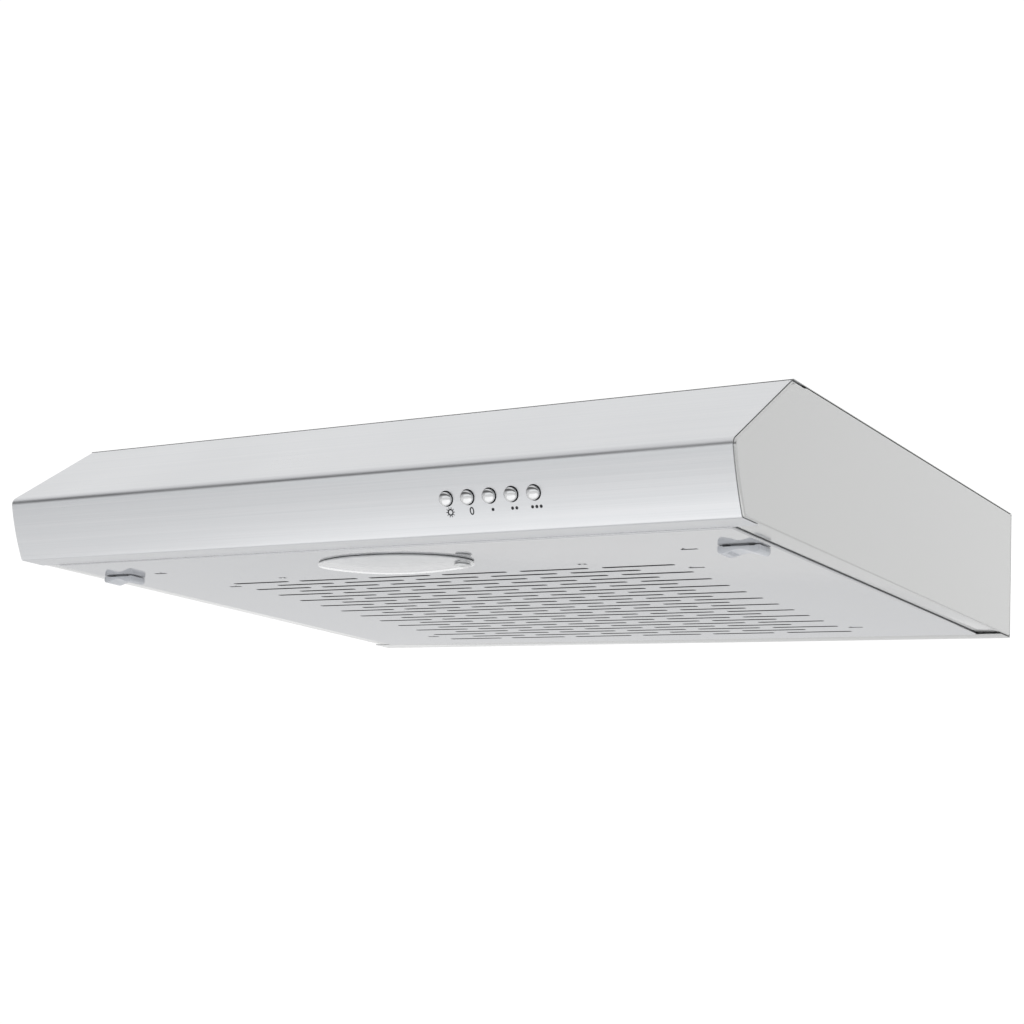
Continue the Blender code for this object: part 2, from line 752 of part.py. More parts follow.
def make_buttons():
    """Domed round caps on stems that reach into the switch block."""
    profile = [(0.0, 0.0033), (0.0022, 0.0030), (0.0037, 0.0024), (BUTTON_RADIUS, 0.0012),
               (BUTTON_RADIUS, -0.0040), (0.0020, -0.0040), (0.0020, -0.0160), (0.0, -0.0160)]
    frame = face_frame()
    outward = Matrix.Rotation(math.radians(90), 4, "X")
    for name, x in zip(BUTTON_NAMES, button_offsets()):
        button = turned(name, profile, 18)
        place(button, "chrome", matrix=frame @ Matrix.Translation((x, 0, 0)) @ outward)


def make_lamp():
    y = LAMP_CENTRE[1]
    top = -2 * LAP - GAP - SHEET
    face = -0.080
    path = rounded([(face, -0.090), (face, top), (face - 0.016, top)], [0, 0.002, 0], 3)
    bracket = bent_sheet("lamp_bracket", path, -0.016, 0.016, thickness=0.0010)
    hole = cylinder("lamp_lead_hole", 0.0045, (-0.09, y, BULB_Z), (-0.07, y, BULB_Z), 14)
    cut(bracket, helper(hole))
    turn = Matrix.Rotation(math.radians(-90), 4, "Z")
    place(bracket, "galvanised", matrix=Matrix.Translation((0, y + 0.003, 0)) @ turn)
    start = face + GAP
    holder = turned("lamp_holder", [
        (0.0120, start + 0.034), (0.0135, start + 0.032), (0.0135, start + 0.012),
        (0.0110, start + 0.009), (0.0110, start), (0.0, start), (0.0, start + 0.010),
        (0.0075, start + 0.010), (0.0075, start + 0.034), (0.0120, start + 0.034)][:-1], 20)
    close_axis(holder)
    place(holder, "white_plastic", matrix=about_x_axis(0, y, BULB_Z))
    cap = turned("bulb_base", [
        (0.0, start + 0.0420), (0.0070, start + 0.0420), (0.0070, start + 0.0130),
        (0.0040, start + 0.0110), (0.0, start + 0.0110)], 18)
    place(cap, "chrome", matrix=about_x_axis(0, y, BULB_Z))
    neck = start + 0.0423
    glass = [(0.0, neck + 0.072)]
    for angle in range(15, 151, 15):
        turn_by = math.radians(angle)
        glass.append((0.0165 * math.sin(turn_by), neck + 0.0555 + 0.0165 * math.cos(turn_by)))
    glass += [(0.0062, neck + 0.012), (0.0058, neck), (0.0, neck)]
    place(turned("bulb_glass", glass, 18), "lamp_glass", matrix=about_x_axis(0, y, BULB_Z))


def close_axis(obj):
    """Joins the first and last points of a turned profile that has only one on the axis."""
    shape = bmesh.new()
    shape.from_mesh(obj.data)
    shape.verts.ensure_lookup_table()
    shape.edges.new((shape.verts[-1], shape.verts[0]))
    shape.to_mesh(obj.data)
    shape.free()


def make_leads():
    """Internal wiring, clipped inside the hood from end to end."""
    y = LAMP_CENTRE[1]
    block = face_frame()
    lamp = [(-0.230, 0.0916, -0.020), (-0.230, 0.080, -0.020), (-0.232, -0.040, -0.010),
            (-0.228, -0.135, -0.016), (-0.185, -0.175, -0.045), (-0.130, y, -0.070),
            (-0.100, y, BULB_Z), (-0.0803, y, BULB_Z)]
    motor = [(-0.1816, 0.130, -0.020), (-0.174, 0.130, -0.020), (-0.150, 0.145, -0.015),
             (-0.100, 0.180, -0.012), (0.040, 0.180, -0.014), (0.082, 0.160, -0.030),
             (0.090, 0.130, -0.045), (0.090, 0.1066, -0.045)]
    switch = [(-0.205, 0.0916, -0.030), (-0.205, 0.080, -0.030), (-0.195, -0.060, -0.010),
              (-0.120, -0.125, -0.008), (0.060, -0.150, -0.010), (0.110, -0.185, -0.024),
              block @ Vector((0, 0.040, 0.022)), block @ Vector((0, 0.018, 0.016)),
              block @ Vector((0, 0.018, 0.0103))]
    for name, corners in (("lamp_lead", lamp), ("motor_lead", motor), ("switch_lead", switch)):
        place(tube(name, smooth_route(corners), 0.0020), "lead_sleeve")


# Filter panel

def slot_outline(x, y):
    half = SLOT_LENGTH / 2
    rise = SLOT_WIDTH / 2
    return [(x - half, y), (x - half + rise, y - rise), (x + half - rise, y - rise), (x + half, y),
            (x + half - rise, y + rise), (x - half + rise, y + rise)]


def slot_outlines():
    """Staggered rows: six slots in one row and five in the next."""
    slots = []
    for row in range(SLOT_ROWS):
        count = 6 - row % 2
        y = FIRST_SLOT_Y + row * SLOT_PITCH_Y
        for i in range(count):
            slots.append(slot_outline((i - (count - 1) / 2) * SLOT_PITCH_X, y))
    return slots


def latch_window(side):
    low, high = sorted((side * 0.2500, side * 0.2700))
    return rectangle(low, LATCH_Y - 0.005, high, LATCH_Y + 0.005)


def lanced_outline(x, y):
    """A short cut with a pointed notch in its front edge, on the side nearer the middle."""
    half = LANCED_LENGTH / 2
    rise = LANCED_WIDTH / 2
    peak = -0.0027
    side = math.copysign(1, x)
    points = [(-half, -rise), (peak - 0.0016, -rise), (peak, -rise - 0.0018), (peak + 0.0016, -rise),
              (half, -rise), (half, rise), (-half, rise)]
    return [(x + side * dx, y + dy) for dx, dy in points]


def hook_hole(side):
    """The hole that the front end of a filter wire hooks into."""
    half, rise = 0.0034, 0.0017
    x = side * WIRE_X
    return rectangle(x - half, WIRE_FRONT_Y - rise, x + half, WIRE_FRONT_Y + rise)


def make_filter_panel(parent):
    """A tray with upturned edges, drawn as one open surface and then thickened."""
    outline = rectangle(-PANEL_HALF_WIDTH, PANEL_FRONT_Y, PANEL_HALF_WIDTH, PANEL_REAR_Y)
    holes = slot_outlines()
    holes.append(circle(*LAMP_CENTRE, OPENING_RADII[0], 32, OPENING_RADII[1]))
    holes.append(circle(KNOB_X, LAMP_CENTRE[1], 0.0026, 10))
    holes += [lanced_outline(x, y) for x, y in LANCED_MARKS]
    for side in (-1, 1):
        holes.append(latch_window(side))
        holes.append(hook_hole(side))
    shape = bmesh.new()
    rim = []
    for number, loop in enumerate([outline, *holes]):
        verts = [shape.verts.new((x, y, PANEL_Z)) for x, y in loop]
        for a, b in zip(verts, verts[1:] + verts[:1]):
            edge = shape.edges.new((a, b))
            if number == 0:
                rim.append(edge)
    bmesh.ops.triangle_fill(shape, use_beauty=True, edges=list(shape.edges), normal=(0, 0, -1))
    made = bmesh.ops.extrude_edge_only(shape, edges=rim)["geom"]
    raised = [item for item in made if isinstance(item, bmesh.types.BMVert)]
    bmesh.ops.translate(shape, vec=(0, 0, PANEL_LIP), verts=raised)
    bmesh.ops.recalc_face_normals(shape, faces=shape.faces)
    shape.faces.ensure_lookup_table()
    floor = max(shape.faces, key=lambda face: -face.calc_center_median().z)
    if floor.normal.z > 0:
        bmesh.ops.reverse_faces(shape, faces=shape.faces)
    panel = thicken(mesh_object("filter_panel", shape))
    pivot = cylinder("pivot_holes", 0.0023, (-0.29, *PANEL_PIVOT), (0.29, *PANEL_PIVOT), 12)
    tongues = box("tongue_windows", (-0.29, LATCH_Y - 0.0045, -0.0954), (0.29, LATCH_Y + 0.0045, -0.0915))
    cut(panel, helper(pivot), helper(tongues))
    place(panel, "panel_paint", parent)


def make_panel_pivot(name, side):
    """A bracket on the side panel's flange, with the pin that the panel turns on."""
    y, z = PANEL_PIVOT
    def across(low, high):
        return sorted((side * low, side * high))
    foot = across(0.2835, 0.2975)
    web = across(0.2835, 0.2847)
    bracket = box(name, (foot[0], y - 0.006, -0.0952), (foot[1], y + 0.006, -0.0940))
    upright = box(name + "_upright", (web[0], y - 0.006, -0.0950), (web[1], y + 0.006, -0.0860))
    pin = cylinder(name + "_pin", 0.0020, (side * 0.2746, y, z), (side * 0.2843, y, z), 12)
    head = cylinder(name + "_head", 0.0032, (side * 0.2735, y, z), (side * 0.2750, y, z), 12)
    join(bracket, helper(upright), helper(pin), helper(head))
    place(bracket, "galvanised")


def make_grease_filter(parent):
    mat = box("grease_filter", (-0.235, -0.148, -0.0969), (0.235, 0.160, -0.0919))
    place(mat, "filter_felt", parent)


def make_filter_wire(name, side, parent):
    """A spring wire that holds the filter mat down on the panel."""
    front = WIRE_FRONT_Y
    rear = 0.1642
    high = -0.0904
    low = -0.0965
    hook = -0.0976
    x = side * WIRE_X
    points = [(x, front, hook), (x, front, high - 0.002), (x, front + 0.0006, high - 0.0006),
              (x, front + 0.002, high), (x, rear - 0.002, high), (x, rear - 0.0006, high - 0.0006),
              (x, rear, high - 0.002), (x, rear, low)]
    place(tube(name, points, 0.0011, 2), "chrome", parent)


def make_latch_guide(name, side, parent):
    """The cover on the panel's inner side that the latch slides in."""
    low, high = sorted((side * 0.2415, side * 0.2803))
    start = (low, LATCH_Y - 0.012, -0.0969)
    end = (high, LATCH_Y + 0.012, -0.0873)
    guide = open_box(name, start, end, 0.0012, [(0, 0, -1), (side, 0, 0)])
    place(guide, "silver_plastic", parent)


def make_latch_spring(name, side, parent):
    """A light coil between the latch and the end of its guide."""
    turns = 4
    per_turn = 8
    start = 0.2432
    length = 0.0098
    points = []
    for i in range(turns * per_turn + 1):
        angle = math.tau * i / per_turn
        x = side * (start + length * i / (turns * per_turn))
        points.append((x, LATCH_Y + 0.0024 * math.cos(angle), -0.0925 + 0.0024 * math.sin(angle)))
    place(tube(name, points, 0.0003, 0), "chrome", parent)


def latch_outline():
    """The latch seen from the front: flat above, waisted below, with round ends."""
    top = PANEL_Z - GAP
    ends = -0.1030
    waist = -0.1006
    left = 0.2492
    right = 0.2780
    bend = 0.0022
    flat = 0.0030
    outline = [(left, top), (right, top)]
    for angle in range(0, 91, 30):
        turn = math.radians(angle)
        outline.append((right - bend + bend * math.cos(turn), ends + bend - bend * math.sin(turn)))
    count = 8
    for i in range(1, count):
        share = i / count
        x = right - flat + (left + 2 * flat - right) * share
        outline.append((x, ends + (waist - ends) * math.sin(math.pi * share)))
    for angle in range(90, 181, 30):
        turn = math.radians(angle)
        outline.append((left + bend + bend * math.cos(turn), ends + bend - bend * math.sin(turn)))
    return outline


def make_latch(name, side, parent):
    outline = [(side * x, z) for x, z in latch_outline()]
    stand = Matrix.Translation((0, LATCH_Y, 0)) @ Matrix.Rotation(math.radians(90), 4, "X")
    grip = flat_plate(name, [outline], 0.0146)
    grip.matrix_world = stand
    latch = as_mesh(grip)

    def block(label, x_low, x_high, half, z_low, z_high):
        low, high = sorted((side * x_low, side * x_high))
        return helper(box(label, (low, LATCH_Y - half, z_low), (high, LATCH_Y + half, z_high)))

    neck = block(name + "_neck", 0.2565, 0.2695, 0.0045, -0.0998, -0.0948)
    head = block(name + "_head", 0.2535, 0.2715, 0.0065, -0.0966, -0.0898)
    tongue = block(name + "_tongue", 0.2705, 0.2823, 0.0040, -0.0950, -0.0922)
    join(latch, neck, head, tongue)
    place(latch, "silver_plastic", parent)


def make_lamp_cover(parent):
    """A shallow oval dish of translucent plastic with a lip that locates in the opening."""
    radius = COVER_LENGTH_RADIUS
    rim = -0.0993
    sag = 0.0050
    outer = []
    for share in (0.0, 0.25, 0.5, 0.72, 0.88, 0.97):
        outer.append((radius * share, rim - sag * (1 - share ** 2)))
    profile = list(reversed(outer))
    inner = [(0.0, rim - sag + 0.0016), (0.0460, rim + 0.0007 - 0.0016), (0.0488, rim + 0.0004),
             (0.0490, -0.0965), (0.0502, -0.0965), (0.0504, rim + 0.0004), (0.0620, rim + 0.0008)]
    section = [(radius - 0.0006, rim + 0.0008), (radius, rim + 0.0002), (radius - 0.0006, rim - 0.0004)]
    cover = turned("lamp_cover", section + profile + inner, 40)
    close_axis(cover)
    squash = Matrix.Translation((*LAMP_CENTRE, 0)) @ Matrix.Diagonal((1, COVER_RATIO, 1, 1))
    boss = cylinder("knob_boss", 0.0050, (KNOB_X, LAMP_CENTRE[1], -0.1008),
                    (KNOB_X, LAMP_CENTRE[1], -0.0990), 20)
    tab = box("rim_tab", (-0.0032, LAMP_CENTRE[1] - 0.0301, -0.0991),
              (0.0032, LAMP_CENTRE[1] - 0.0283, -0.0982))
    hole = cylinder("knob_hole", 0.0024, (KNOB_X, LAMP_CENTRE[1], -0.11),
                    (KNOB_X, LAMP_CENTRE[1], -0.09), 10)
    join(cover, helper(boss), helper(tab))
    cut(cover, helper(hole))
    place(cover, "lamp_plastic", parent, squash)


def make_lamp_knob(parent):
    profile = [(0.0, -0.0961), (0.0018, -0.0961), (0.0018, -0.1011), (0.0050, -0.1011),
               (0.0058, -0.1015), (0.0058, -0.1020), (0.0050, -0.1026), (0.0028, -0.1026),
               (0.0020, -0.1019), (0.0, -0.1019)]
    knob = turned("lamp_knob", profile, 24)
    place(knob, "chrome", parent, Matrix.Translation((KNOB_X, LAMP_CENTRE[1], 0)))


def make_casing():
    make_front_wrap()
    make_top_panel()
    make_side_panel("side_panel_left", -1)
    make_side_panel("side_panel_right", 1)
    make_back_panel()


def make_duct_and_blower():
    make_outlet_collar()
    make_collar_ring()
    make_collar_screws()
    make_damper()
    make_outlet_plate()
    make_scroll()
    make_scroll_side("blower_side_left", -1)
    make_scroll_side("blower_side_right", 1)
    fan_axis = axis_empty("fan_axis", (0, *FAN_AXIS))
    make_impeller(fan_axis)
    make_motor_shaft(fan_axis)
    make_motor()
    make_motor_bracket()
    make_motor_nuts()
    make_capacitor()


def make_electrics():
    make_terminal_box()
    make_cable_grommet()
    make_switch_block()
    make_switch_bracket()
    make_buttons()
    make_lamp()
    make_leads()


def make_panel():
    panel_axis = axis_empty("panel_axis", (0, *PANEL_PIVOT))
    make_filter_panel(panel_axis)
    make_grease_filter(panel_axis)
    for side, word in ((-1, "left"), (1, "right")):
        make_panel_pivot("panel_pivot_" + word, side)
        make_filter_wire("filter_wire_" + word, side, panel_axis)
        make_latch_guide("latch_guide_" + word, side, panel_axis)
        make_latch_spring("latch_spring_" + word, side, panel_axis)
        slide = axis_empty("latch_slide_" + word, (side * 0.26, LATCH_Y, PANEL_Z), panel_axis)
        make_latch("filter_latch_" + word, side, slide)
    cover_axis = axis_empty("lamp_cover_axis", (COVER_HINGE[0], LAMP_CENTRE[1], COVER_HINGE[1]),
                            panel_axis)
    make_lamp_cover(cover_axis)
    make_lamp_knob(cover_axis)


clear_scene()
PARTS = new_collection("under_cabinet_range_hood")
CUTTERS = new_collection("cutters")
make_materials()
make_casing()
make_duct_and_blower()
make_electrics()
make_panel()
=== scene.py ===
"""Looks for the under cabinet range hood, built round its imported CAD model.

Metres, in the CAD's frame: +X to the right-hand end, the front faces -Y, +Z up, and the
origin is the centre of the flat top face.
"""

import json
import math

import bmesh
import bpy
from mathutils import Matrix, Vector, noise

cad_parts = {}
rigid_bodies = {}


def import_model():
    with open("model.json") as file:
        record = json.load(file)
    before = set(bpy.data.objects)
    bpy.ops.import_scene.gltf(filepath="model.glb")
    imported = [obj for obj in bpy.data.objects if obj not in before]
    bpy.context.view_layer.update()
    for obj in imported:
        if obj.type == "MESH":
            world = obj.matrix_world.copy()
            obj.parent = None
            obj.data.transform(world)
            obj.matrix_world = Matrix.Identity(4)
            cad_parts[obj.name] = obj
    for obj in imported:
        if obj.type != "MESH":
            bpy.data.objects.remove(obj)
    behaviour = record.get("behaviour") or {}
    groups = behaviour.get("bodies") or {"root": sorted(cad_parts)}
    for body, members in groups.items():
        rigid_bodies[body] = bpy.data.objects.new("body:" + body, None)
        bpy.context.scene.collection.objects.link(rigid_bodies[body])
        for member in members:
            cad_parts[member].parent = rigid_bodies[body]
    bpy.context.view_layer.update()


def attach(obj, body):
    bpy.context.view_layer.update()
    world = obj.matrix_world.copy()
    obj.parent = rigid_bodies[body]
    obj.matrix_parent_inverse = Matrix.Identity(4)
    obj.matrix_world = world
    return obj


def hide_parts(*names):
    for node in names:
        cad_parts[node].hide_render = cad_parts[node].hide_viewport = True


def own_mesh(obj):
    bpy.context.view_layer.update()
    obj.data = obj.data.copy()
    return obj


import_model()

# Sizes that the CAD model has too
SHEET = 0.0006
GAP = 0.0003
LAP = SHEET + GAP
HALF_WIDTH = 0.300
FLANGE = 0.0172
TOP_FRONT_Y = -0.198
BACK_Y = 0.198
CREASE = Vector((-0.2716, -0.0547))
FOOT = Vector((-0.255, -0.0970))
FRONT_BULGE = 0.0014
RETURN_END_Y = -0.2344
WRAP_HALF_WIDTH = 0.2982
COVER_HALF_WIDTH = 0.2998
SIDE_FOOT_Z = -0.0961
PANEL_HALF_WIDTH = 0.2815
PANEL_FRONT_Y = -0.2342
PANEL_REAR_Y = 0.176
PANEL_Z = -0.0978
PANEL_LIP = 0.012
SLOT_HALF_LENGTH = 0.0275
SLOT_HALF_WIDTH = 0.0020
SLOT_PITCH_X = 0.0657
SLOT_PITCH_Y = 0.013
SLOT_ROWS = 23
FIRST_SLOT_Y = -0.138
LANCED_MARKS = ((0.2263, -0.1830), (0.2010, -0.1255), (0.2029, 0.1294),
                (-0.2195, -0.1888), (-0.1995, -0.1275), (-0.2000, 0.1330))
WIRE_X = 0.1302
WIRE_FRONT_Y = -0.1525
LATCH_Y = -0.1828
LAMP = Vector((0.0, -0.186))
COVER_RADIUS = 0.0635
COVER_RATIO = 0.48
OPENING_RADII = (0.051, 0.0250)
KNOB_X = 0.0575
BULB_Z = -0.074
OUTLET_Y = 0.095
FLAP_Z = 0.016
FAN_AXIS = (0.070, -0.045)
MOTOR_ENDS = (0.066, 0.112)
GROMMET = (-0.222, 0.172)
BUTTON_X = 0.1305
BUTTON_PITCH = 0.01625
BUTTON_HEIGHT_SHARE = 0.514
BUTTONS = ("light_button", "off_button", "speed_1_button", "speed_2_button", "speed_3_button")
SIDES = (("left", -1), ("right", 1))
PIVOT = (0.170, -0.092)
CAPACITOR = Vector((0.190, 0.070, -0.0185))
SCREW_HOLE = 0.0018
UNDER_TOP = -2 * LAP - GAP

# The middle of the printed signs, up the face from the middle of the buttons
SIGN_Z = -0.0087


# Nodes for materials

def material(name):
    made = bpy.data.materials.new(name)
    made.use_nodes = True
    return made, made.node_tree, made.node_tree.nodes["Principled BSDF"]


def add(tree, kind, **settings):
    made = tree.nodes.new(kind)
    for key, value in settings.items():
        setattr(made, key, value)
    return made


def field(tree, scale, detail=3.0, rough=0.55, stretch=(1.0, 1.0, 1.0), kind="ShaderNodeTexNoise"):
    """A noise over the object, with its scale in 1/m and its stretch along the axes."""
    coords = add(tree, "ShaderNodeTexCoord")
    mapping = add(tree, "ShaderNodeMapping")
    mapping.inputs["Scale"].default_value = stretch
    tree.links.new(coords.outputs["Object"], mapping.inputs["Vector"])
    texture = add(tree, kind)
    texture.inputs["Scale"].default_value = scale
    if kind == "ShaderNodeTexNoise":
        texture.inputs["Detail"].default_value = detail
        texture.inputs["Roughness"].default_value = rough
    tree.links.new(mapping.outputs["Vector"], texture.inputs["Vector"])
    return texture


def spread(tree, value, low, high, start=0.3, end=0.7):
    """The value, taken from start..end to low..high."""
    made = add(tree, "ShaderNodeMapRange")
    made.inputs["From Min"].default_value = start
    made.inputs["From Max"].default_value = end
    made.inputs["To Min"].default_value = low
    made.inputs["To Max"].default_value = high
    tree.links.new(value, made.inputs["Value"])
    return made.outputs["Result"]


def blend(tree, factor, dark, light):
    """A colour between two others."""
    made = add(tree, "ShaderNodeMix", data_type="RGBA")
    tree.links.new(factor, made.inputs["Factor"])
    for socket, colour in (("A", dark), ("B", light)):
        target = [item for item in made.inputs if item.name == socket and item.type == "RGBA"][0]
        if isinstance(colour, tuple):
            target.default_value = (*colour, 1.0)
        else:
            tree.links.new(colour, target)
    return [item for item in made.outputs if item.type == "RGBA"][0]


def bumps(tree, shader, height, distance):
    made = add(tree, "ShaderNodeBump")
    made.inputs["Strength"].default_value = 1.0
    made.inputs["Distance"].default_value = distance
    tree.links.new(height, made.inputs["Height"])
    tree.links.new(made.outputs["Normal"], shader.inputs["Normal"])


def rough_from(tree, shader, value, low, high, *limits):
    tree.links.new(spread(tree, value, low, high, *limits), shader.inputs["Roughness"])


def colour_from(tree, shader, value, dark, light):
    colour = blend(tree, spread(tree, value, 0.0, 1.0), dark, light)
    tree.links.new(colour, shader.inputs["Base Color"])


def plain_surface(name, dark, light, rough, metal=0.0, blotch=25.0, detail=(2.0, 0.55), grain=1800.0,
                  depth=0.00002, sockets=()):
    """Paint, plastic or plated metal: faint blotches, a fine grain and a roughness that varies."""
    made, tree, shader = material(name)
    wide = field(tree, blotch, *detail)
    fine = field(tree, grain, 2.0)
    colour_from(tree, shader, wide.outputs["Fac"], dark, light)
    rough_from(tree, shader, wide.outputs["Fac"], *rough)
    shader.inputs["Metallic"].default_value = metal
    bumps(tree, shader, fine.outputs["Fac"], depth)
    for key, value in sockets:
        shader.inputs[key].default_value = value
    return made


def brushed_steel():
    """Stainless steel with fine lines along the hood's length."""
    made, tree, shader = material("brushed_steel")
    lines = field(tree, 1.0, 3.0, 0.6, (6.0, 2600.0, 2600.0))
    long_lines = field(tree, 1.0, 2.0, 0.5, (1.2, 420.0, 420.0))
    smears = field(tree, 9.0, 2.0)
    base = blend(tree, spread(tree, lines.outputs["Fac"], 0.0, 1.0), (0.588, 0.598, 0.612),
                 (0.642, 0.652, 0.666))
    tone = blend(tree, spread(tree, long_lines.outputs["Fac"], 0.0, 0.35), base, (0.70, 0.70, 0.71))
    tree.links.new(tone, shader.inputs["Base Color"])
    shader.inputs["Metallic"].default_value = 1.0
    rough = add(tree, "ShaderNodeMath", operation="ADD")
    tree.links.new(spread(tree, lines.outputs["Fac"], -0.035, 0.035), rough.inputs[0])
    tree.links.new(spread(tree, smears.outputs["Fac"], 0.30, 0.35), rough.inputs[1])
    tree.links.new(rough.outputs["Value"], shader.inputs["Roughness"])
    bumps(tree, shader, lines.outputs["Fac"], 0.000004)
    return made


def lacquered_steel(name, tint, rough):
    """Silver lacquer on sheet steel: metal flakes under a clear, slightly wavy gloss."""
    made, tree, shader = material(name)
    flakes = field(tree, 2600.0, 1.0, 0.5, kind="ShaderNodeTexVoronoi")
    wide = field(tree, 7.0, 2.0)
    peel = field(tree, 420.0, 2.0, 0.4)
    grey = add(tree, "ShaderNodeSeparateColor")
    tree.links.new(flakes.outputs["Color"], grey.inputs["Color"])
    dark = tuple(share * 0.955 for share in tint)
    light = tuple(min(1.0, share * 1.045) for share in tint)
    sparkle = blend(tree, grey.outputs[0], dark, light)
    warm = blend(tree, spread(tree, wide.outputs["Fac"], 0.0, 0.5), sparkle,
                 (tint[0] * 1.01, tint[1] * 1.01, tint[2] * 0.995))
    tree.links.new(warm, shader.inputs["Base Color"])
    rough_from(tree, shader, wide.outputs["Fac"], *rough)
    shader.inputs["Metallic"].default_value = 0.75
    shader.inputs["Coat Weight"].default_value = 0.5
    shader.inputs["Coat Roughness"].default_value = 0.06
    bumps(tree, shader, peel.outputs["Fac"], 0.000004)
    return made


def galvanised_steel():
    """Zinc spangle: crystals of slightly different brightness."""
    made, tree, shader = material("galvanised_steel")
    crystals = field(tree, 150.0, kind="ShaderNodeTexVoronoi")
    fine = field(tree, 900.0, 3.0)
    grey = add(tree, "ShaderNodeSeparateColor")
    tree.links.new(crystals.outputs["Color"], grey.inputs["Color"])
    colour = blend(tree, grey.outputs[0], (0.40, 0.41, 0.42), (0.58, 0.59, 0.60))
    tree.links.new(colour, shader.inputs["Base Color"])
    rough_from(tree, shader, grey.outputs[1], 0.34, 0.52, 0.0, 1.0)
    shader.inputs["Metallic"].default_value = 1.0
    bumps(tree, shader, fine.outputs["Fac"], 0.00001)
    return made


def polished(name, dark, light, rough=(0.04, 0.09), grain=2200.0):
    """Chrome or bright zinc, with faint wipe marks."""
    return plain_surface(name, dark, light, rough, 1.0, 320.0, (3.0, 0.6), grain, 0.000001)


def frosted_glass():
    made, tree, shader = material("frosted_glass")
    etch = field(tree, 1500.0, 3.0)
    wide = field(tree, 60.0, 2.0)
    colour_from(tree, shader, wide.outputs["Fac"], (0.86, 0.86, 0.84), (0.93, 0.93, 0.91))
    rough_from(tree, shader, etch.outputs["Fac"], 0.22, 0.36)
    shader.inputs["Transmission Weight"].default_value = 0.35
    bumps(tree, shader, etch.outputs["Fac"], 0.000008)
    return made


def fibre_mat():
    """Charcoal fleece, darkened further as painted shade seen through the slots: tangled fibres with
    lighter strands.
    """
    made, tree, shader = material("fibre_mat")
    along = field(tree, 1.0, 4.0, 0.65, (260.0, 1500.0, 900.0))
    across = field(tree, 1.0, 4.0, 0.65, (1500.0, 260.0, 900.0))
    wide = field(tree, 45.0, 3.0)
    pick = add(tree, "ShaderNodeMath", operation="MAXIMUM")
    tree.links.new(along.outputs["Fac"], pick.inputs[0])
    tree.links.new(across.outputs["Fac"], pick.inputs[1])
    strands = blend(tree, spread(tree, pick.outputs["Value"], 0.0, 1.0, 0.50, 0.72),
                    (0.018, 0.0185, 0.020), (0.085, 0.085, 0.088))
    colour = blend(tree, spread(tree, wide.outputs["Fac"], 0.0, 0.5), strands, (0.030, 0.030, 0.032))
    tree.links.new(colour, shader.inputs["Base Color"])
    rough_from(tree, shader, wide.outputs["Fac"], 0.85, 0.98)
    shader.inputs["Sheen Weight"].default_value = 0.3
    shader.inputs["Sheen Roughness"].default_value = 0.5
    bumps(tree, shader, pick.outputs["Value"], 0.0004)
    return made


def copper_winding():
    made, tree, shader = material("copper_winding")
    wires = field(tree, 1.0, 2.0, 0.5, (40.0, 1800.0, 1800.0))
    colour_from(tree, shader, wires.outputs["Fac"], (0.30, 0.10, 0.035), (0.56, 0.24, 0.10))
    rough_from(tree, shader, wires.outputs["Fac"], 0.28, 0.42)
    shader.inputs["Metallic"].default_value = 0.8
    bumps(tree, shader, wires.outputs["Fac"], 0.0001)
    return made


def laminations():
    """The motor's stack of thin steel plates, seen at its edge."""
    made, tree, shader = material("laminations")
    coords = add(tree, "ShaderNodeTexCoord")
    split = add(tree, "ShaderNodeSeparateXYZ")
    tree.links.new(coords.outputs["Object"], split.inputs["Vector"])
    step = add(tree, "ShaderNodeMath", operation="MULTIPLY")
    step.inputs[1].default_value = math.tau / 0.0010
    tree.links.new(split.outputs["Z"], step.inputs[0])
    wave = add(tree, "ShaderNodeMath", operation="SINE")
    tree.links.new(step.outputs["Value"], wave.inputs[0])
    rust = field(tree, 90.0, 4.0)
    plates = blend(tree, spread(tree, wave.outputs["Value"], 0.0, 1.0, -0.8, 0.8),
                   (0.05, 0.05, 0.055), (0.17, 0.17, 0.175))
    colour = blend(tree, spread(tree, rust.outputs["Fac"], 0.0, 0.5, 0.45, 0.75), plates,
                   (0.10, 0.085, 0.075))
    tree.links.new(colour, shader.inputs["Base Color"])
    rough_from(tree, shader, rust.outputs["Fac"], 0.38, 0.55)
    shader.inputs["Metallic"].default_value = 0.6
    bumps(tree, shader, wave.outputs["Value"], 0.00008)
    return made


STEEL = brushed_steel()
BODY_PAINT = lacquered_steel("body_lacquer", (0.505, 0.508, 0.507), (0.17, 0.22))
PANEL_PAINT = lacquered_steel("panel_lacquer", (0.510, 0.515, 0.529), (0.05, 0.08))
ZINC = galvanised_steel()
CHROME = polished("chrome", (0.62, 0.625, 0.63), (0.70, 0.705, 0.71))
BRIGHT = polished("bright_zinc", (0.56, 0.57, 0.58), (0.68, 0.69, 0.70), (0.20, 0.32), 1500.0)
BLACK = plain_surface("black_plastic", (0.020, 0.020, 0.021), (0.032, 0.032, 0.033), (0.42, 0.52))
WHITE = plain_surface("white_plastic", (0.74, 0.74, 0.72), (0.80, 0.80, 0.78), (0.36, 0.44))
SILVER = plain_surface("silver_plastic", (0.50, 0.515, 0.545), (0.54, 0.555, 0.585), (0.28, 0.36),
                       metal=0.1, depth=0.000008)
# Painted shade: near-black for the cut walls of the filter panel's slots and openings, standing for the
# shade inside them
SLOT_WALL_SHADE = plain_surface("slot_wall_shade", (0.010, 0.010, 0.011), (0.020, 0.020, 0.021), (0.60, 0.75),
                         grain=2600.0, depth=0.00001)
DARK = plain_surface("dark_steel", (0.050, 0.050, 0.053), (0.085, 0.085, 0.088), (0.34, 0.46),
                     metal=0.6, grain=1200.0)
RUBBER = plain_surface("rubber", (0.018, 0.018, 0.018), (0.034, 0.034, 0.034), (0.62, 0.75),
                       grain=900.0)
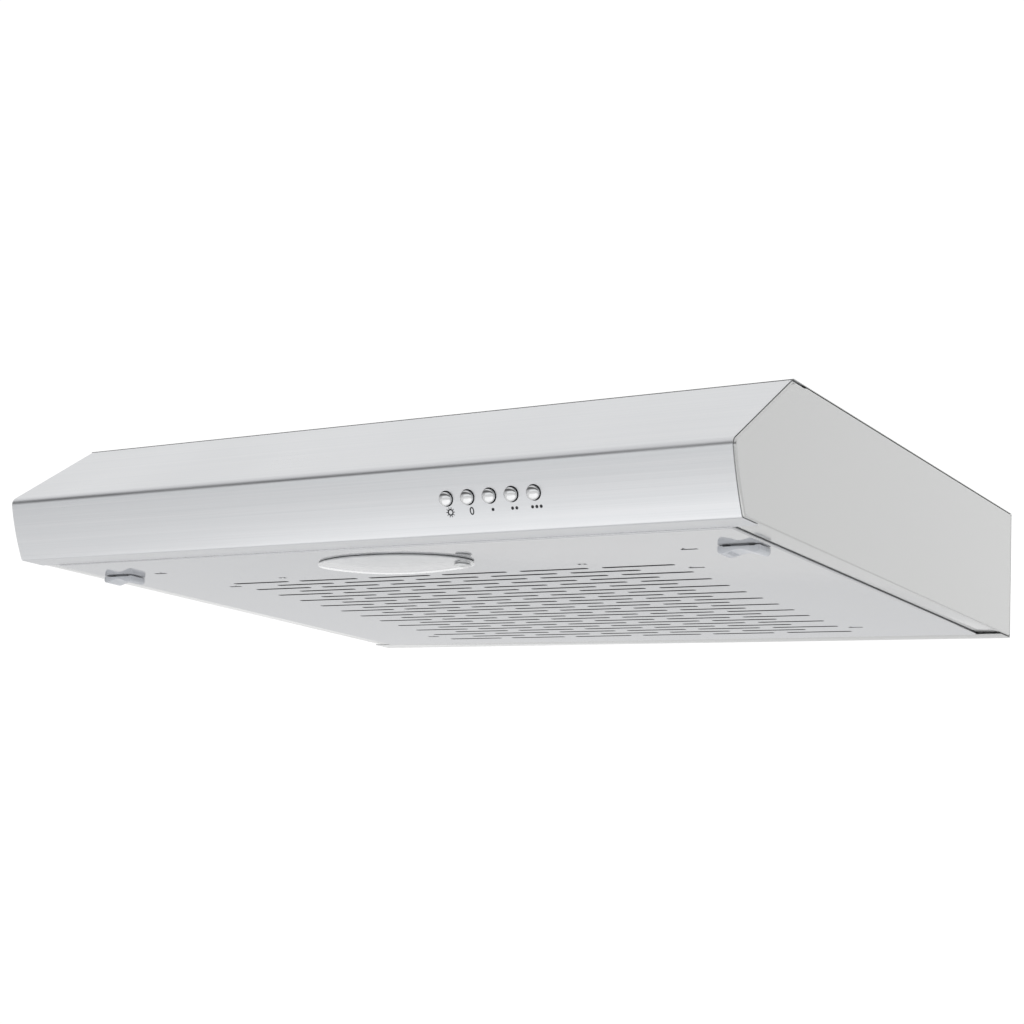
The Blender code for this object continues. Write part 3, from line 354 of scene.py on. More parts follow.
SLEEVE = plain_surface("lead_sleeve", (0.29, 0.29, 0.30), (0.36, 0.36, 0.37), (0.40, 0.50),
                       grain=1400.0)
INK = plain_surface("ink", (0.006, 0.006, 0.009), (0.012, 0.012, 0.016), (0.55, 0.70), grain=3000.0,
                    depth=0.000004)
LAMP_PLASTIC = plain_surface("lamp_plastic", (0.500, 0.508, 0.518), (0.555, 0.563, 0.572), (0.12, 0.17),
                             blotch=40.0, grain=2400.0, depth=0.000006,
                             sockets=(("IOR", 1.65), ("Coat Weight", 1.0), ("Coat Roughness", 0.05),
                                      ("Subsurface Weight", 0.25), ("Subsurface Scale", 1.0),
                                      ("Subsurface Radius", (0.004, 0.004, 0.004))))
GLASS = frosted_glass()
FIBRE = fibre_mat()
COPPER = copper_winding()
PLATES = laminations()


# Mesh helpers

def moved(x, y, z):
    return Matrix.Translation((x, y, z))


def turned(degrees, axis):
    return Matrix.Rotation(math.radians(degrees), 4, axis)


def mesh_of(shape):
    made = bpy.data.meshes.new("shape")
    shape.to_mesh(made)
    shape.free()
    return made


def worked(mesh, *changes, cutters=()):
    """The mesh with its modifiers applied, in order, and then the cutters cut from it."""
    scene_objects = bpy.context.scene.collection.objects
    obj = bpy.data.objects.new("work", mesh)
    scene_objects.link(obj)
    extra = []
    for kind, settings in changes:
        modifier = obj.modifiers.new(kind, kind)
        for key, value in settings.items():
            setattr(modifier, key, value)
    for cutter in cutters:
        other = bpy.data.objects.new("cutter", cutter)
        scene_objects.link(other)
        extra.append(other)
        modifier = obj.modifiers.new("cut", "BOOLEAN")
        modifier.solver = "EXACT"
        modifier.object = other
    bpy.context.view_layer.update()
    graph = bpy.context.evaluated_depsgraph_get()
    made = bpy.data.meshes.new_from_object(obj.evaluated_get(graph))
    for item in (obj, *extra):
        bpy.data.objects.remove(item, do_unlink=True)
    return made


def solid(thickness=SHEET):
    return "SOLIDIFY", {"thickness": thickness, "offset": -1, "use_even_offset": True}


def soft_edges(width, segments=2, degrees=40):
    return "BEVEL", {"width": width, "segments": segments, "limit_method": "ANGLE",
                     "angle_limit": math.radians(degrees)}


def piece(name, mesh, surface, *nodes, body="hood", slot=None, matrix=None, degrees=30, extra=()):
    """Puts a finished piece in the scene, on its body and in place of its CAD nodes."""
    mesh.name = name
    for item in (surface, *extra):
        mesh.materials.append(item)
    mesh.shade_smooth()
    mesh.set_sharp_from_angle(angle=math.radians(degrees))
    obj = bpy.data.objects.new(name, mesh)
    bpy.context.scene.collection.objects.link(obj)
    if matrix is not None:
        obj.matrix_world = matrix
    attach(obj, body)
    if nodes:
        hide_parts(*nodes)
    return obj


def merged(*parts):
    """One mesh from several, each a mesh or a (mesh, matrix) or (mesh, matrix, slot number)."""
    shape = bmesh.new()
    for part in parts:
        mesh, matrix, number = (part, None, 0) if not isinstance(part, tuple) else (*part, 0)[:3]
        first = len(shape.verts)
        first_face = len(shape.faces)
        shape.from_mesh(mesh)
        shape.verts.ensure_lookup_table()
        shape.faces.ensure_lookup_table()
        if matrix is not None:
            bmesh.ops.transform(shape, matrix=matrix, verts=shape.verts[first:])
        for face in shape.faces[first_face:]:
            face.material_index = number
    return mesh_of(shape)


def revolve(profile, steps=64, squash=1.0, closed=False):
    """A shape turned about Z, from a profile that ends on the axis or closes on itself."""
    shape = bmesh.new()
    rings = []
    for radius, z in profile:
        if radius < 1e-7:
            rings.append([shape.verts.new((0, 0, z))])
            continue
        turns = [math.tau * i / steps for i in range(steps)]
        rings.append([shape.verts.new((radius * math.cos(t), radius * math.sin(t) * squash, z))
                      for t in turns])
    pairs = list(zip(rings, rings[1:]))
    if closed:
        pairs.append((rings[-1], rings[0]))
    for a, b in pairs:
        for i in range(steps):
            j = (i + 1) % steps
            corners = [a[i % len(a)], a[j % len(a)], b[j % len(b)], b[i % len(b)]]
            unique = [v for k, v in enumerate(corners) if v not in corners[:k]]
            if len(unique) > 2:
                shape.faces.new(unique)
    bmesh.ops.recalc_face_normals(shape, faces=shape.faces)
    return mesh_of(shape)


def cube(corner, opposite):
    """A plain box between two opposite corners, given in any order."""
    shape = bmesh.new()
    bmesh.ops.create_cube(shape, size=1.0)
    bmesh.ops.scale(shape, vec=[abs(b - a) for a, b in zip(corner, opposite)], verts=shape.verts)
    bmesh.ops.translate(shape, vec=[(a + b) / 2 for a, b in zip(corner, opposite)], verts=shape.verts)
    shape.normal_update()
    return shape


def box(corner, opposite, bevel=0.0, segments=2):
    shape = cube(corner, opposite)
    if bevel:
        bmesh.ops.bevel(shape, geom=shape.edges, offset=bevel, segments=segments, profile=0.5,
                        affect="EDGES")
    return mesh_of(shape)


def open_box(corner, opposite, is_open):
    """A box less the faces whose normals are open."""
    shape = cube(corner, opposite)
    gone = [face for face in shape.faces if is_open(face.normal)]
    bmesh.ops.delete(shape, geom=gone, context="FACES")
    return mesh_of(shape)


def rod(radius, start, end, steps=24, chamfer=0.0002):
    """A round bar between two points, with a small chamfer at its ends."""
    start = Vector(start)
    along = Vector(end) - start
    length = along.length
    made = revolve([(0, 0), (radius - chamfer, 0), (radius, chamfer), (radius, length - chamfer),
                    (radius - chamfer, length), (0, length)], steps)
    turn = along.to_track_quat("Z", "Y").to_matrix().to_4x4()
    made.transform(Matrix.Translation(start) @ turn)
    return made


def rounded(points, radii, steps=6):
    """The path with an arc of each radius at its corner."""
    made = [Vector(points[0])]
    for before, corner, after, radius in zip(points, points[1:], points[2:], radii[1:]):
        corner = Vector(corner)
        if radius == 0:
            made.append(corner)
            continue
        back = (Vector(before) - corner).normalized()
        onward = (Vector(after) - corner).normalized()
        half = back.angle(onward) / 2
        centre = corner + (back + onward).normalized() * radius / math.sin(half)
        start = corner + back * radius / math.tan(half) - centre
        end = corner + onward * radius / math.tan(half) - centre
        sweep = math.atan2(start.x * end.y - start.y * end.x, start.dot(end))
        for i in range(steps + 1):
            made.append(centre + Matrix.Rotation(sweep * i / steps, 2) @ start)
    made.append(Vector(points[-1]))
    return made


def shifted(path, distance):
    """The path moved to its own left, with its corners kept sharp."""
    path = [Vector(point) for point in path]
    sides = []
    for a, b in zip(path, path[1:]):
        along = (b - a).normalized()
        sides.append(Vector((-along.y, along.x)))
    sides = [sides[0]] + sides + [sides[-1]]
    made = []
    for point, before, after in zip(path, sides, sides[1:]):
        middle = (before + after).normalized()
        made.append(point + middle * distance / middle.dot(after))
    return made


def inset(loop, distance):
    """A closed anticlockwise loop, shrunk on every side."""
    made = []
    for i, point in enumerate(loop):
        a = (point - loop[i - 1]).normalized()
        b = (loop[(i + 1) % len(loop)] - point).normalized()
        sides = Vector((-a.y, a.x)), Vector((-b.y, b.x))
        middle = (sides[0] + sides[1]).normalized()
        made.append(point + middle * distance / max(middle.dot(sides[1]), 0.35))
    return made


def anticlockwise(loop):
    area = sum(a.x * b.y - b.x * a.y for a, b in zip(loop, loop[1:] + loop[:1]))
    return loop if area > 0 else list(reversed(loop))


def without_repeats(loop):
    """The closed loop less its points that are within 0.01 mm of the one before."""
    least = 0.00001
    made = [loop[0]]
    for point in loop[1:]:
        if (point - made[-1]).length > least:
            made.append(point)
    if (made[0] - made[-1]).length <= least:
        made.pop()
    return made


def bent_sheet(path, half, thick="left", thickness=SHEET, bevel=0.0001, segments=2):
    """Sheet metal along a (y, z) path, a half to each side of x = 0 and thickened on one side."""
    shape = bmesh.new()
    rows = [[shape.verts.new((x, *point)) for x in (-half, half)] for point in path]
    for a, b in zip(rows, rows[1:]):
        corners = [a[0], a[1], b[1], b[0]]
        shape.faces.new(corners if thick == "right" else corners[::-1])
    return worked(mesh_of(shape), solid(thickness), soft_edges(bevel, segments, 60))


def polar(radius, turn, radius_y=None):
    """A point on a circle about the origin, or on an ellipse with two radii."""
    return Vector((radius * math.cos(turn), (radius_y or radius) * math.sin(turn)))


def oval(x, y, radius, radius_y=None, count=64):
    return [Vector((x, y)) + polar(radius, math.tau * i / count, radius_y) for i in range(count)]


def rectangle(x, y, half_x, half_y):
    return [Vector((x - half_x, y - half_y)), Vector((x + half_x, y - half_y)),
            Vector((x + half_x, y + half_y)), Vector((x - half_x, y + half_y))]


def round_ended(x, y, half, rise):
    """A slot's outline, along X."""
    made = []
    for side, first in ((1, -90), (-1, 90)):
        centre = Vector((x + side * (half - rise), y))
        made += [centre + polar(rise, math.radians(first + 30 * i)) for i in range(7)]
    return made


def fill_between(shape, loops):
    """Fills the flat region between closed loops of vertices."""
    edges = []
    for verts in loops:
        for a, b in zip(verts, verts[1:] + verts[:1]):
            edges.append(shape.edges.get((a, b)) or shape.edges.new((a, b)))
    bmesh.ops.triangle_fill(shape, use_beauty=True, use_dissolve=False, edges=edges)


def facing(shape, heading):
    """The mesh of a shape whose widest face looks along the heading."""
    bmesh.ops.recalc_face_normals(shape, faces=shape.faces)
    shape.normal_update()
    widest = max(shape.faces, key=lambda face: face.calc_area())
    if widest.normal.dot(Vector(heading)) < 0:
        bmesh.ops.reverse_faces(shape, faces=shape.faces)
    return mesh_of(shape)


def ladder(shape, a, b):
    """Joins two closed loops of as many vertices."""
    for i in range(len(a)):
        j = (i + 1) % len(a)
        shape.faces.new((a[i], a[j], b[j], b[i]))


def pan(outline, depth, bend, place, holes=()):
    """An open tray: a flat face, a bend all round it and a rim as deep as asked.

    place turns (u, v, w) into a point, where w goes into the tray. A hole is a list of loops
    with their depths, of which the first and widest is in the face.
    """
    outline = anticlockwise(outline)
    shape = bmesh.new()

    def ring(loop, depth_at):
        return [shape.verts.new(place(point.x, point.y, depth_at)) for point in loop]

    rings = [ring(inset(outline, bend + 0.0004), 0.0), ring(inset(outline, bend), 0.0)]
    for i in range(1, 7):
        turn = math.pi / 2 * i / 6
        rings.append(ring(inset(outline, bend * (1 - math.sin(turn))), bend * (1 - math.cos(turn))))
    rings.append(ring(outline, depth))
    for a, b in zip(rings, rings[1:]):
        ladder(shape, a, b)
    cut_loops = []
    for levels in holes:
        loops = [ring(inset(levels[0][0], -0.0004), 0.0)]
        loops += [ring(loop, depth_at) for loop, depth_at in levels]
        for a, b in zip(loops, loops[1:]):
            ladder(shape, a, b)
        cut_loops.append(loops[0])
    fill_between(shape, [rings[0], *cut_loops])
    return facing(shape, Vector(place(0, 0, 0)) - Vector(place(0, 0, 1)))


def plate(loops, thickness, bevel=0.00012):
    """A flat plate about z = 0, with holes and softened edges."""
    shape = bmesh.new()
    fill_between(shape, [[shape.verts.new((*point, -thickness / 2)) for point in loop] for loop in loops])
    changes = [solid(thickness)]
    if bevel:
        changes.append(soft_edges(bevel, 2, 50))
    return worked(facing(shape, (0, 0, -1)), *changes)


def tube(points, radius, sides=12):
    """A round wire along the points, as a mesh with flat ends."""
    points = [Vector(point) for point in points]
    shape = bmesh.new()
    side = (points[1] - points[0]).normalized().orthogonal().normalized()
    rings = []
    for i, point in enumerate(points):
        heading = (points[min(i + 1, len(points) - 1)] - points[max(i - 1, 0)]).normalized()
        side = (side - heading * side.dot(heading)).normalized()
        other = heading.cross(side)
        turns = [math.tau * k / sides for k in range(sides)]
        rings.append([shape.verts.new(point + radius * (side * math.cos(turn) + other * math.sin(turn)))
                      for turn in turns])
    for a, b in zip(rings, rings[1:]):
        ladder(shape, a, b)
    shape.faces.new(rings[0])
    shape.faces.new(rings[-1])
    bmesh.ops.recalc_face_normals(shape, faces=shape.faces)
    return mesh_of(shape)


def smooth_route(corners):
    """A line through the corners: Catmull-Rom spans between a straight first and last span."""
    steps = 8
    start, *middle, last = [Vector(corner) for corner in corners]
    middle = [2 * middle[0] - middle[1], *middle, 2 * middle[-1] - middle[-2]]
    route = [start]
    for a, b, c, d in zip(middle, middle[1:], middle[2:], middle[3:]):
        for i in range(steps):
            t = i / steps
            route.append(0.5 * (2 * b + (c - a) * t + (2 * a - 5 * b + 4 * c - d) * t ** 2
                                + (3 * b - a - 3 * c + d) * t ** 3))
    return route + [middle[-2], last]


def along_x(x, y, z):
    """Turns a shape made about Z to lie about X."""
    return moved(x, y, z) @ turned(90, "Y")


def along_y(x, y, z):
    return moved(x, y, z) @ turned(-90, "Z")


# Casing

def front_corners():
    """The front wrap's outer line before its bends: flange, slant, convex front, return."""
    slope = (CREASE[0] - TOP_FRONT_Y) / CREASE[1]
    top_corner = Vector((TOP_FRONT_Y - slope * LAP, -LAP))
    chord = FOOT - CREASE
    outward = Vector((chord.y, -chord.x)).normalized()
    bulge = []
    for i in range(20):
        share = 0.14 + 0.80 * i / 19
        bulge.append(CREASE + chord * share + outward * FRONT_BULGE * 4 * share * (1 - share))
    return [Vector((-0.184, -LAP)), top_corner, CREASE, *bulge, FOOT, Vector((RETURN_END_Y, FOOT[1]))]


def face_frame():
    """The middle of the button row: x along the hood, y into it, z up its face."""
    up = (CREASE - FOOT).normalized()
    outward = Vector((-up.y, up.x))
    middle = FOOT + (CREASE - FOOT) * BUTTON_HEIGHT_SHARE + outward * FRONT_BULGE
    tilt = math.atan2(-outward.y, -outward.x)
    return moved(BUTTON_X, middle.x, middle.y) @ Matrix.Rotation(tilt, 4, "X")


FACE = face_frame()


def button_offsets():
    return [BUTTON_PITCH * (i - 2) for i in range(len(BUTTONS))]


def button_place(x):
    """The frame of a button's hole, with its Z out of the face."""
    return FACE @ moved(x, 0, 0) @ turned(90, "X")


def make_front():
    corners = front_corners()
    radii = [0, 0.001, 0.006] + [0] * (len(corners) - 5) + [0.0022, 0]
    sheet = bent_sheet(rounded(corners, radii, 14), WRAP_HALF_WIDTH, bevel=0.00012)
    hole, flare = 0.0049, 0.0005
    profile = [(0, 0.004), (0.0057, 0.004), (0.0057, 0.00012)]
    for i in range(1, 7):
        turn = math.pi / 2 * i / 6
        profile.append((hole + flare * (1 - math.sin(turn)), -flare * (1 - math.cos(turn))))
    profile += [(hole, -0.004), (0, -0.004)]
    cutters = []
    for x in button_offsets():
        cutter = revolve(profile, 48)
        cutter.transform(button_place(x))
        cutters.append(cutter)
    piece("front_shell", worked(sheet, cutters=cutters), STEEL, "front_wrap", degrees=12)


def side_loop():
    """The side panel's edge: behind the front, under the top and inside the back."""
    corners = shifted(front_corners(), LAP)[1:-1]
    top = [Vector((-0.1836, -2 * LAP)), Vector((-0.1800, -LAP))]
    rear = BACK_Y - LAP
    points = [corners[-1], *reversed(corners[:-1]), *top, Vector((rear, -LAP)),
              Vector((rear, SIDE_FOOT_Z))]
    radii = [0.0016] + [0] * (len(corners) - 3) + [0.0052, 0.0016, 0, 0, 0.0025, 0.0025]
    closed = [points[-1], *points, points[0]]
    loop = rounded(closed, [0, *radii, 0], 8)[1:-1]
    return without_repeats(loop)


def make_sides():
    loop = side_loop()
    for name, side in SIDES:
        def place(u, v, w, side=side):
            return (side * (HALF_WIDTH - w), u, v)
        shell = worked(pan(loop, FLANGE, 0.0012, place), solid(), soft_edges(0.0001, 1, 60))
        piece("side_shell_" + name, shell, BODY_PAINT, "side_panel_" + name, degrees=25)


def keyhole(x, y):
    """A slot with a wide round end for the head of a hanging screw."""
    head, shank = Vector((x, y)), Vector((x, y + 0.011))
    return ([head + polar(0.005, math.radians(a)) for a in range(-240, 61, 15)]
            + [shank + polar(0.0025, math.radians(a)) for a in range(0, 181, 20)])


def screw_places():
    reach = 0.0655 * math.sqrt(0.5)
    return [(x, OUTLET_Y + y) for x in (-reach, reach) for y in (-reach, reach)]


def screw_holes(y=0.0):
    """The holes for the outlet's screws, in a plate whose middle is at y."""
    return [oval(screw_x, screw_y - y, SCREW_HOLE, count=20) for screw_x, screw_y in screw_places()]


def make_top():
    front = TOP_FRONT_Y - GAP
    outline = rectangle(0, (front + BACK_Y) / 2, COVER_HALF_WIDTH, (BACK_Y - front) / 2)
    loops = [outline, oval(0, OUTLET_Y, 0.0603, count=96)]
    loops += [keyhole(x, y) for x in (-0.160, 0.160) for y in (-0.140, 0.130)]
    loops += [oval(*GROMMET, 0.0078, count=40), *screw_holes()]
    piece("top_sheet", plate(loops, SHEET), BODY_PAINT, "top_panel", degrees=12,
          matrix=moved(0, 0, -SHEET / 2))


def make_back():
    foot = -0.09755
    path = rounded([(BACK_Y, -LAP), (BACK_Y, foot), (0.177, foot)], [0, 0.0014, 0], 8)
    piece("back_sheet", bent_sheet(path, COVER_HALF_WIDTH, "right"), BODY_PAINT, "back_panel")


# Buttons and their signs

def make_buttons():
    """Short chrome cylinders with a domed face, each on a thin stem."""
    wall, stem, dome = 0.0045, 0.0020, 0.0076
    cap = []
    for i in range(12):
        radius = 0.0039 * i / 11
        cap.append((radius, 0.0034 - (dome - math.sqrt(dome ** 2 - radius ** 2))))
    side = rounded([cap[-1], (wall, 0.0018), (wall, -0.0040)], [0, 0.0006, 0], 6)
    profile = [*cap, *side[1:], (wall - 0.0002, -0.0040), (stem, -0.0040), (stem, -0.0158),
               (stem - 0.0002, -0.0160), (0, -0.0160)]
    for name, x in zip(BUTTONS, button_offsets()):
        piece(name + "_cap", revolve(profile, 64), CHROME, name, body=name.replace("_button", ""),
              matrix=button_place(x), degrees=40)


def sign_height(z):
    """How far the convex face falls back from its middle, at z up its chord."""
    half = (CREASE - FOOT).length / 2
    share = (z + (BUTTON_HEIGHT_SHARE - 0.5) * 2 * half) / half
    return FRONT_BULGE * share ** 2


def sign(name, loops, x):
    """A printed sign that follows the face: a thin skin of ink."""
    shape = bmesh.new()
    fill_between(shape, [[shape.verts.new((x + point.x, 0, SIGN_Z + point.y)) for point in loop]
                         for loop in loops])
    for vert in shape.verts:
        vert.co.y = sign_height(vert.co.z) - 0.00004
    piece(name, worked(facing(shape, (0, -1, 0)), solid(0.00006)), INK, matrix=FACE)


def make_signs():
    """A lamp with rays, a nought, and one, two and three dots."""
    shifts = (0.0018, 0.0018, 0.0013, 0.0010, 0.0008)
    xs = [offset + shift for offset, shift in zip(button_offsets(), shifts)]
    sign("sign_light_ring", [oval(0, 0, 0.0022, count=32), oval(0, 0, 0.0013, count=32)], xs[0])
    for i in range(10):
        heading = polar(1, math.tau * i / 10)
        side = Vector((-heading.y, heading.x)) * 0.00028
        foot, tip = heading * 0.0023, heading * 0.0033
        ray = [foot - side, tip - side * 0.8, tip + side * 0.8, foot + side]
        sign(f"sign_light_ray_{i + 1}", [ray], xs[0])
    sign("sign_off", [oval(0, 0, 0.00165, 0.00255, 40), oval(0, 0, 0.00080, 0.00170, 40)], xs[1])
    for number, x in enumerate(xs[2:], 1):
        for i in range(number):
            dot = x + 0.0031 * (i - (number - 1) / 2)
            sign(f"sign_speed_{number}_{i + 1}", [oval(0, 0, 0.00105, count=28)], dot)


# Filter panel

def slot_hole(x, y):
    return [(round_ended(x, y, SLOT_HALF_LENGTH + grow, SLOT_HALF_WIDTH + grow), depth)
            for grow, depth in ((0.00008, 0.0), (0.0, 0.00008), (0.0, 0.0003))]


def lanced_hole(x, y):
    """A short cut with a pointed notch in its front edge, on the side nearer the middle."""
    half, rise, peak = 0.0059, 0.0016, -0.0027
    side = math.copysign(1, x)
    points = [(-half, -rise), (peak - 0.0016, -rise), (peak, -rise - 0.0026), (peak + 0.0016, -rise),
              (half, -rise), (half, rise), (-half, rise)]
    mark = anticlockwise([Vector((x + side * dx, y + dy)) for dx, dy in points])
    return [(inset(mark, -0.00006), 0.0), (mark, 0.0001)]


def hook_hole(side):
    """The hole that the front end of a filter wire hooks into."""
    hole = rectangle(side * WIRE_X, WIRE_FRONT_Y, 0.0034, 0.0017)
    return [(inset(hole, -0.00008), 0.0), (hole, 0.0001)]


def latch_window(side):
    window = rectangle(side * 0.2600, LATCH_Y, 0.0100, 0.005)
    return [(inset(window, -0.0001), 0.0), (window, 0.0002)]


def lamp_opening():
    """The lamp's oval opening, with its edge turned in."""
    across, along = OPENING_RADII
    levels = []
    for i in range(7):
        turn = math.pi / 2 * i / 6
        grow = 0.0012 * (1 - math.sin(turn))
        levels.append((oval(*LAMP, across + grow, along + grow, 96), 0.0012 * (1 - math.cos(turn))))
    return levels + [(oval(*LAMP, across, along, 96), 0.0022)]


def knob_hole():
    return [(oval(KNOB_X, LAMP.y, radius, count=24), depth)
            for radius, depth in ((0.0028, 0.0), (0.0026, 0.0002))]


def make_panel():
    wide, front, rear = PANEL_HALF_WIDTH, PANEL_FRONT_Y, PANEL_REAR_Y
    outline = rounded([(0, front), (wide, front), (wide, rear), (-wide, rear), (-wide, front), (0, front)],
                      [0, 0.0016, 0.0016, 0.0016, 0.0016, 0], 6)
    holes = []
    for row in range(SLOT_ROWS):
        count = 6 - row % 2
        y = FIRST_SLOT_Y + row * SLOT_PITCH_Y
        holes += [slot_hole((i - (count - 1) / 2) * SLOT_PITCH_X, y) for i in range(count)]
    holes += [lamp_opening(), knob_hole()]
    for side in (-1, 1):
        holes += [latch_window(side), hook_hole(side)]
    holes += [lanced_hole(x, y) for x, y in LANCED_MARKS]

    def place(u, v, w):
        return (u, v, PANEL_Z + w)

    tray = worked(pan(without_repeats(outline), PANEL_LIP, 0.0009, place, holes), solid())
    pivot = rod(0.0023, (-0.29, *PIVOT), (0.29, *PIVOT), 24, 0.0)
    windows = box((-0.29, LATCH_Y - 0.0045, -0.0954), (0.29, LATCH_Y + 0.0045, -0.0915))
    tray = worked(tray, cutters=[pivot, windows])
    # Painted shade: the upright walls of the slots, marks, windows and knob hole, away from the lamp
    # opening, take the near-black second material
    across, along = [radius + 0.003 for radius in OPENING_RADII]
    for face in tray.polygons:
        x, y, z = face.center
        beside_lamp = Vector((x / across, (y - LAMP.y) / along)).length > 1
        inside = abs(x) < wide - 0.003 and front + 0.003 < y < rear - 0.003
        if abs(face.normal.z) < 0.5 and z < PANEL_Z + 0.0007 and inside and beside_lamp:
            face.material_index = 1
    piece("filter_tray", tray, PANEL_PAINT, "filter_panel", body="panel", degrees=32, extra=(SLOT_WALL_SHADE,))


def make_mat():
    """The fibre mat: a loose sheet with an uneven surface and ragged edges."""
    low, high = Vector((-0.235, -0.148, -0.0969)), Vector((0.235, 0.160, -0.0919))
    columns, rows = 118, 78
    shape = bmesh.new()

    def at(i, j, top):
        x = low.x + (high.x - low.x) * i / columns
        y = low.y + (high.y - low.y) * j / rows
        ragged = 0.0012 * noise.noise(Vector((x, y, 3.0 + top)) * 160)
        edge_i = 1 if i == 0 else -1 if i == columns else 0
        edge_j = 1 if j == 0 else -1 if j == rows else 0
        swell = 0.0004 * (1 + noise.noise(Vector((x, y, 7.0 * top)) * 120))
        z = high.z - swell if top else low.z + swell * 0.4
        if edge_i or edge_j:
            z += -0.0012 if top else 0.0012
        return shape.verts.new((x + edge_i * abs(ragged), y + edge_j * abs(ragged), z))

    grids = [[[at(i, j, top) for j in range(rows + 1)] for i in range(columns + 1)] for top in (0, 1)]
    for grid in grids:
        for i in range(columns):
            for j in range(rows):
                shape.faces.new((grid[i][j], grid[i + 1][j], grid[i + 1][j + 1], grid[i][j + 1]))
    border = ([(i, 0) for i in range(columns)] + [(columns, j) for j in range(rows)]
              + [(i, rows) for i in range(columns, 0, -1)] + [(0, j) for j in range(rows, 0, -1)])
    ladder(shape, *[[grid[i][j] for i, j in border] for grid in grids])
    bmesh.ops.recalc_face_normals(shape, faces=shape.faces)
    mat = piece("filter_mat", mesh_of(shape), FIBRE, "grease_filter", body="panel", degrees=70)


def make_wires():
    rear, high, low = 0.1642, -0.0904, -0.0965
    corners = [(WIRE_FRONT_Y, -0.0979), (WIRE_FRONT_Y, high), (rear, high), (rear, low)]
    path = rounded(corners, [0, 0.0025, 0.0025, 0], 8)
    for name, side in SIDES:
        wire = tube([(side * WIRE_X, *point) for point in path], 0.0011, 16)
        piece("hold_down_wire_" + name, wire, BRIGHT, "filter_wire_" + name, body="panel", degrees=40)


def latch_outline():
    """The latch seen from the front: flat above, waisted below, with round ends."""
    top, foot, waist = PANEL_Z - GAP, -0.1030, -0.1006
    left, right, radius = 0.2492, 0.2780, 0.0024
    above = [(left + 0.0004, top), (left + 0.0032, top), (left + 0.0036, top - 0.0005),
             (right - 0.0036, top - 0.0005), (right - 0.0032, top), (right - 0.0004, top),
             (right, top - 0.0004)]
    loop = [Vector(point) for point in above]
    corner = Vector((right - radius, foot + radius))
    loop += [corner + polar(radius, -math.radians(90 * i / 8)) for i in range(9)]
    start, stop = right - 0.0032, left + 0.0034
    for share in [i / 24 for i in range(1, 24)]:
        sag = (waist - foot) * math.sin(math.pi * share) ** 1.3
        loop.append(Vector((start + (stop - start) * share, foot + sag)))
    corner = Vector((left + radius, foot + radius))
    loop += [corner + polar(radius, -math.radians(90 + 90 * i / 8)) for i in range(9)]
    return loop + [Vector((left, top - 0.0004))]


def make_latch(name, side):
    """The slider: a grip with ribs for the finger, a neck, a head and a tongue."""
    half = 0.0073
    stand = moved(0, LATCH_Y, 0) @ turned(90, "X")
    loop = anticlockwise([Vector((side * point.x, point.y)) for point in latch_outline()])
    parts = [(worked(plate([loop], 2 * half, 0.0), soft_edges(0.0007, 3, 50)), stand)]

    def block(x_low, x_high, reach, z_low, z_high, bevel, segments=3, y=LATCH_Y):
        corner, opposite = (side * x_low, y - reach, z_low), (side * x_high, y + reach, z_high)
        parts.append(box(corner, opposite, bevel, segments))

    for i in range(7):
        x, z = 0.2514 + 0.0010 * i, -0.1030 + 0.00014 * i
        block(x - 0.00026, x + 0.00026, half - 0.0014, z - 0.00015, z + 0.0016, 0.00016, 2)
    for i in range(4):
        y = LATCH_Y - half + 0.0028 + 0.0030 * i
        block(0.2770, 0.27818, 0.00035, -0.1012, -0.0985, 0.00014, 2, y)
    block(0.2565, 0.2695, 0.0045, -0.0998, -0.0948, 0.0004)
    block(0.2535, 0.2715, 0.0065, -0.0966, -0.0898, 0.0006)
    block(0.2705, 0.2823, 0.0040, -0.0950, -0.0922, 0.0005)
    piece("latch_" + name + "_body", merged(*parts), SILVER, "filter_latch_" + name,
          body="latch_" + name, degrees=35)


def make_latch_cover(name, side):
    cover = open_box((side * 0.2415, LATCH_Y - 0.012, -0.0969), (side * 0.2803, LATCH_Y + 0.012, -0.0873),
                     lambda normal: normal.z < -0.9 or normal.x * side > 0.9)
    guide = worked(cover, solid(0.0012), soft_edges(0.0005, 3, 50))
    piece("latch_cover_" + name, guide, SILVER, "latch_guide_" + name, body="panel")


def make_latch_coil(name, side):
    z, radius, turns, steps = -0.0925, 0.0024, 4, 24
    coil = []
    for i in range(turns * steps + 1):
        around = polar(radius, math.tau * i / steps)
        coil.append((side * (0.2432 + 0.0098 * i / (turns * steps)), LATCH_Y + around.x, z + around.y))
    spring = piece("latch_coil_" + name, tube(coil, 0.0003, 8), BRIGHT, "latch_spring_" + name,
                   body="panel", degrees=60)
    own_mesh(spring)


def make_latches():
    for name, side in SIDES:
        make_latch(name, side)
        make_latch_cover(name, side)
        make_latch_coil(name, side)


def make_pivots():
    y, z = PIVOT
    for name, side in SIDES:
        foot_x = side * 0.2920
        parts = [box((side * 0.2835, y - 0.006, -0.0952), (side * 0.2975, y + 0.006, -0.0940), 0.0003),
                 box((side * 0.2835, y - 0.006, -0.0950), (side * 0.2847, y + 0.006, -0.0860), 0.0003),
                 rod(0.0020, (side * 0.2746, y, z), (side * 0.2843, y, z)),
                 rod(0.0032, (side * 0.2735, y, z), (side * 0.2750, y, z), 32, 0.0004),
                 rod(0.0016, (foot_x, y, -0.0942), (foot_x, y, -0.0932), 24, 0.0004)]
        piece("pivot_bracket_" + name, merged(*parts), ZINC, "panel_pivot_" + name, degrees=35)


# Lamp

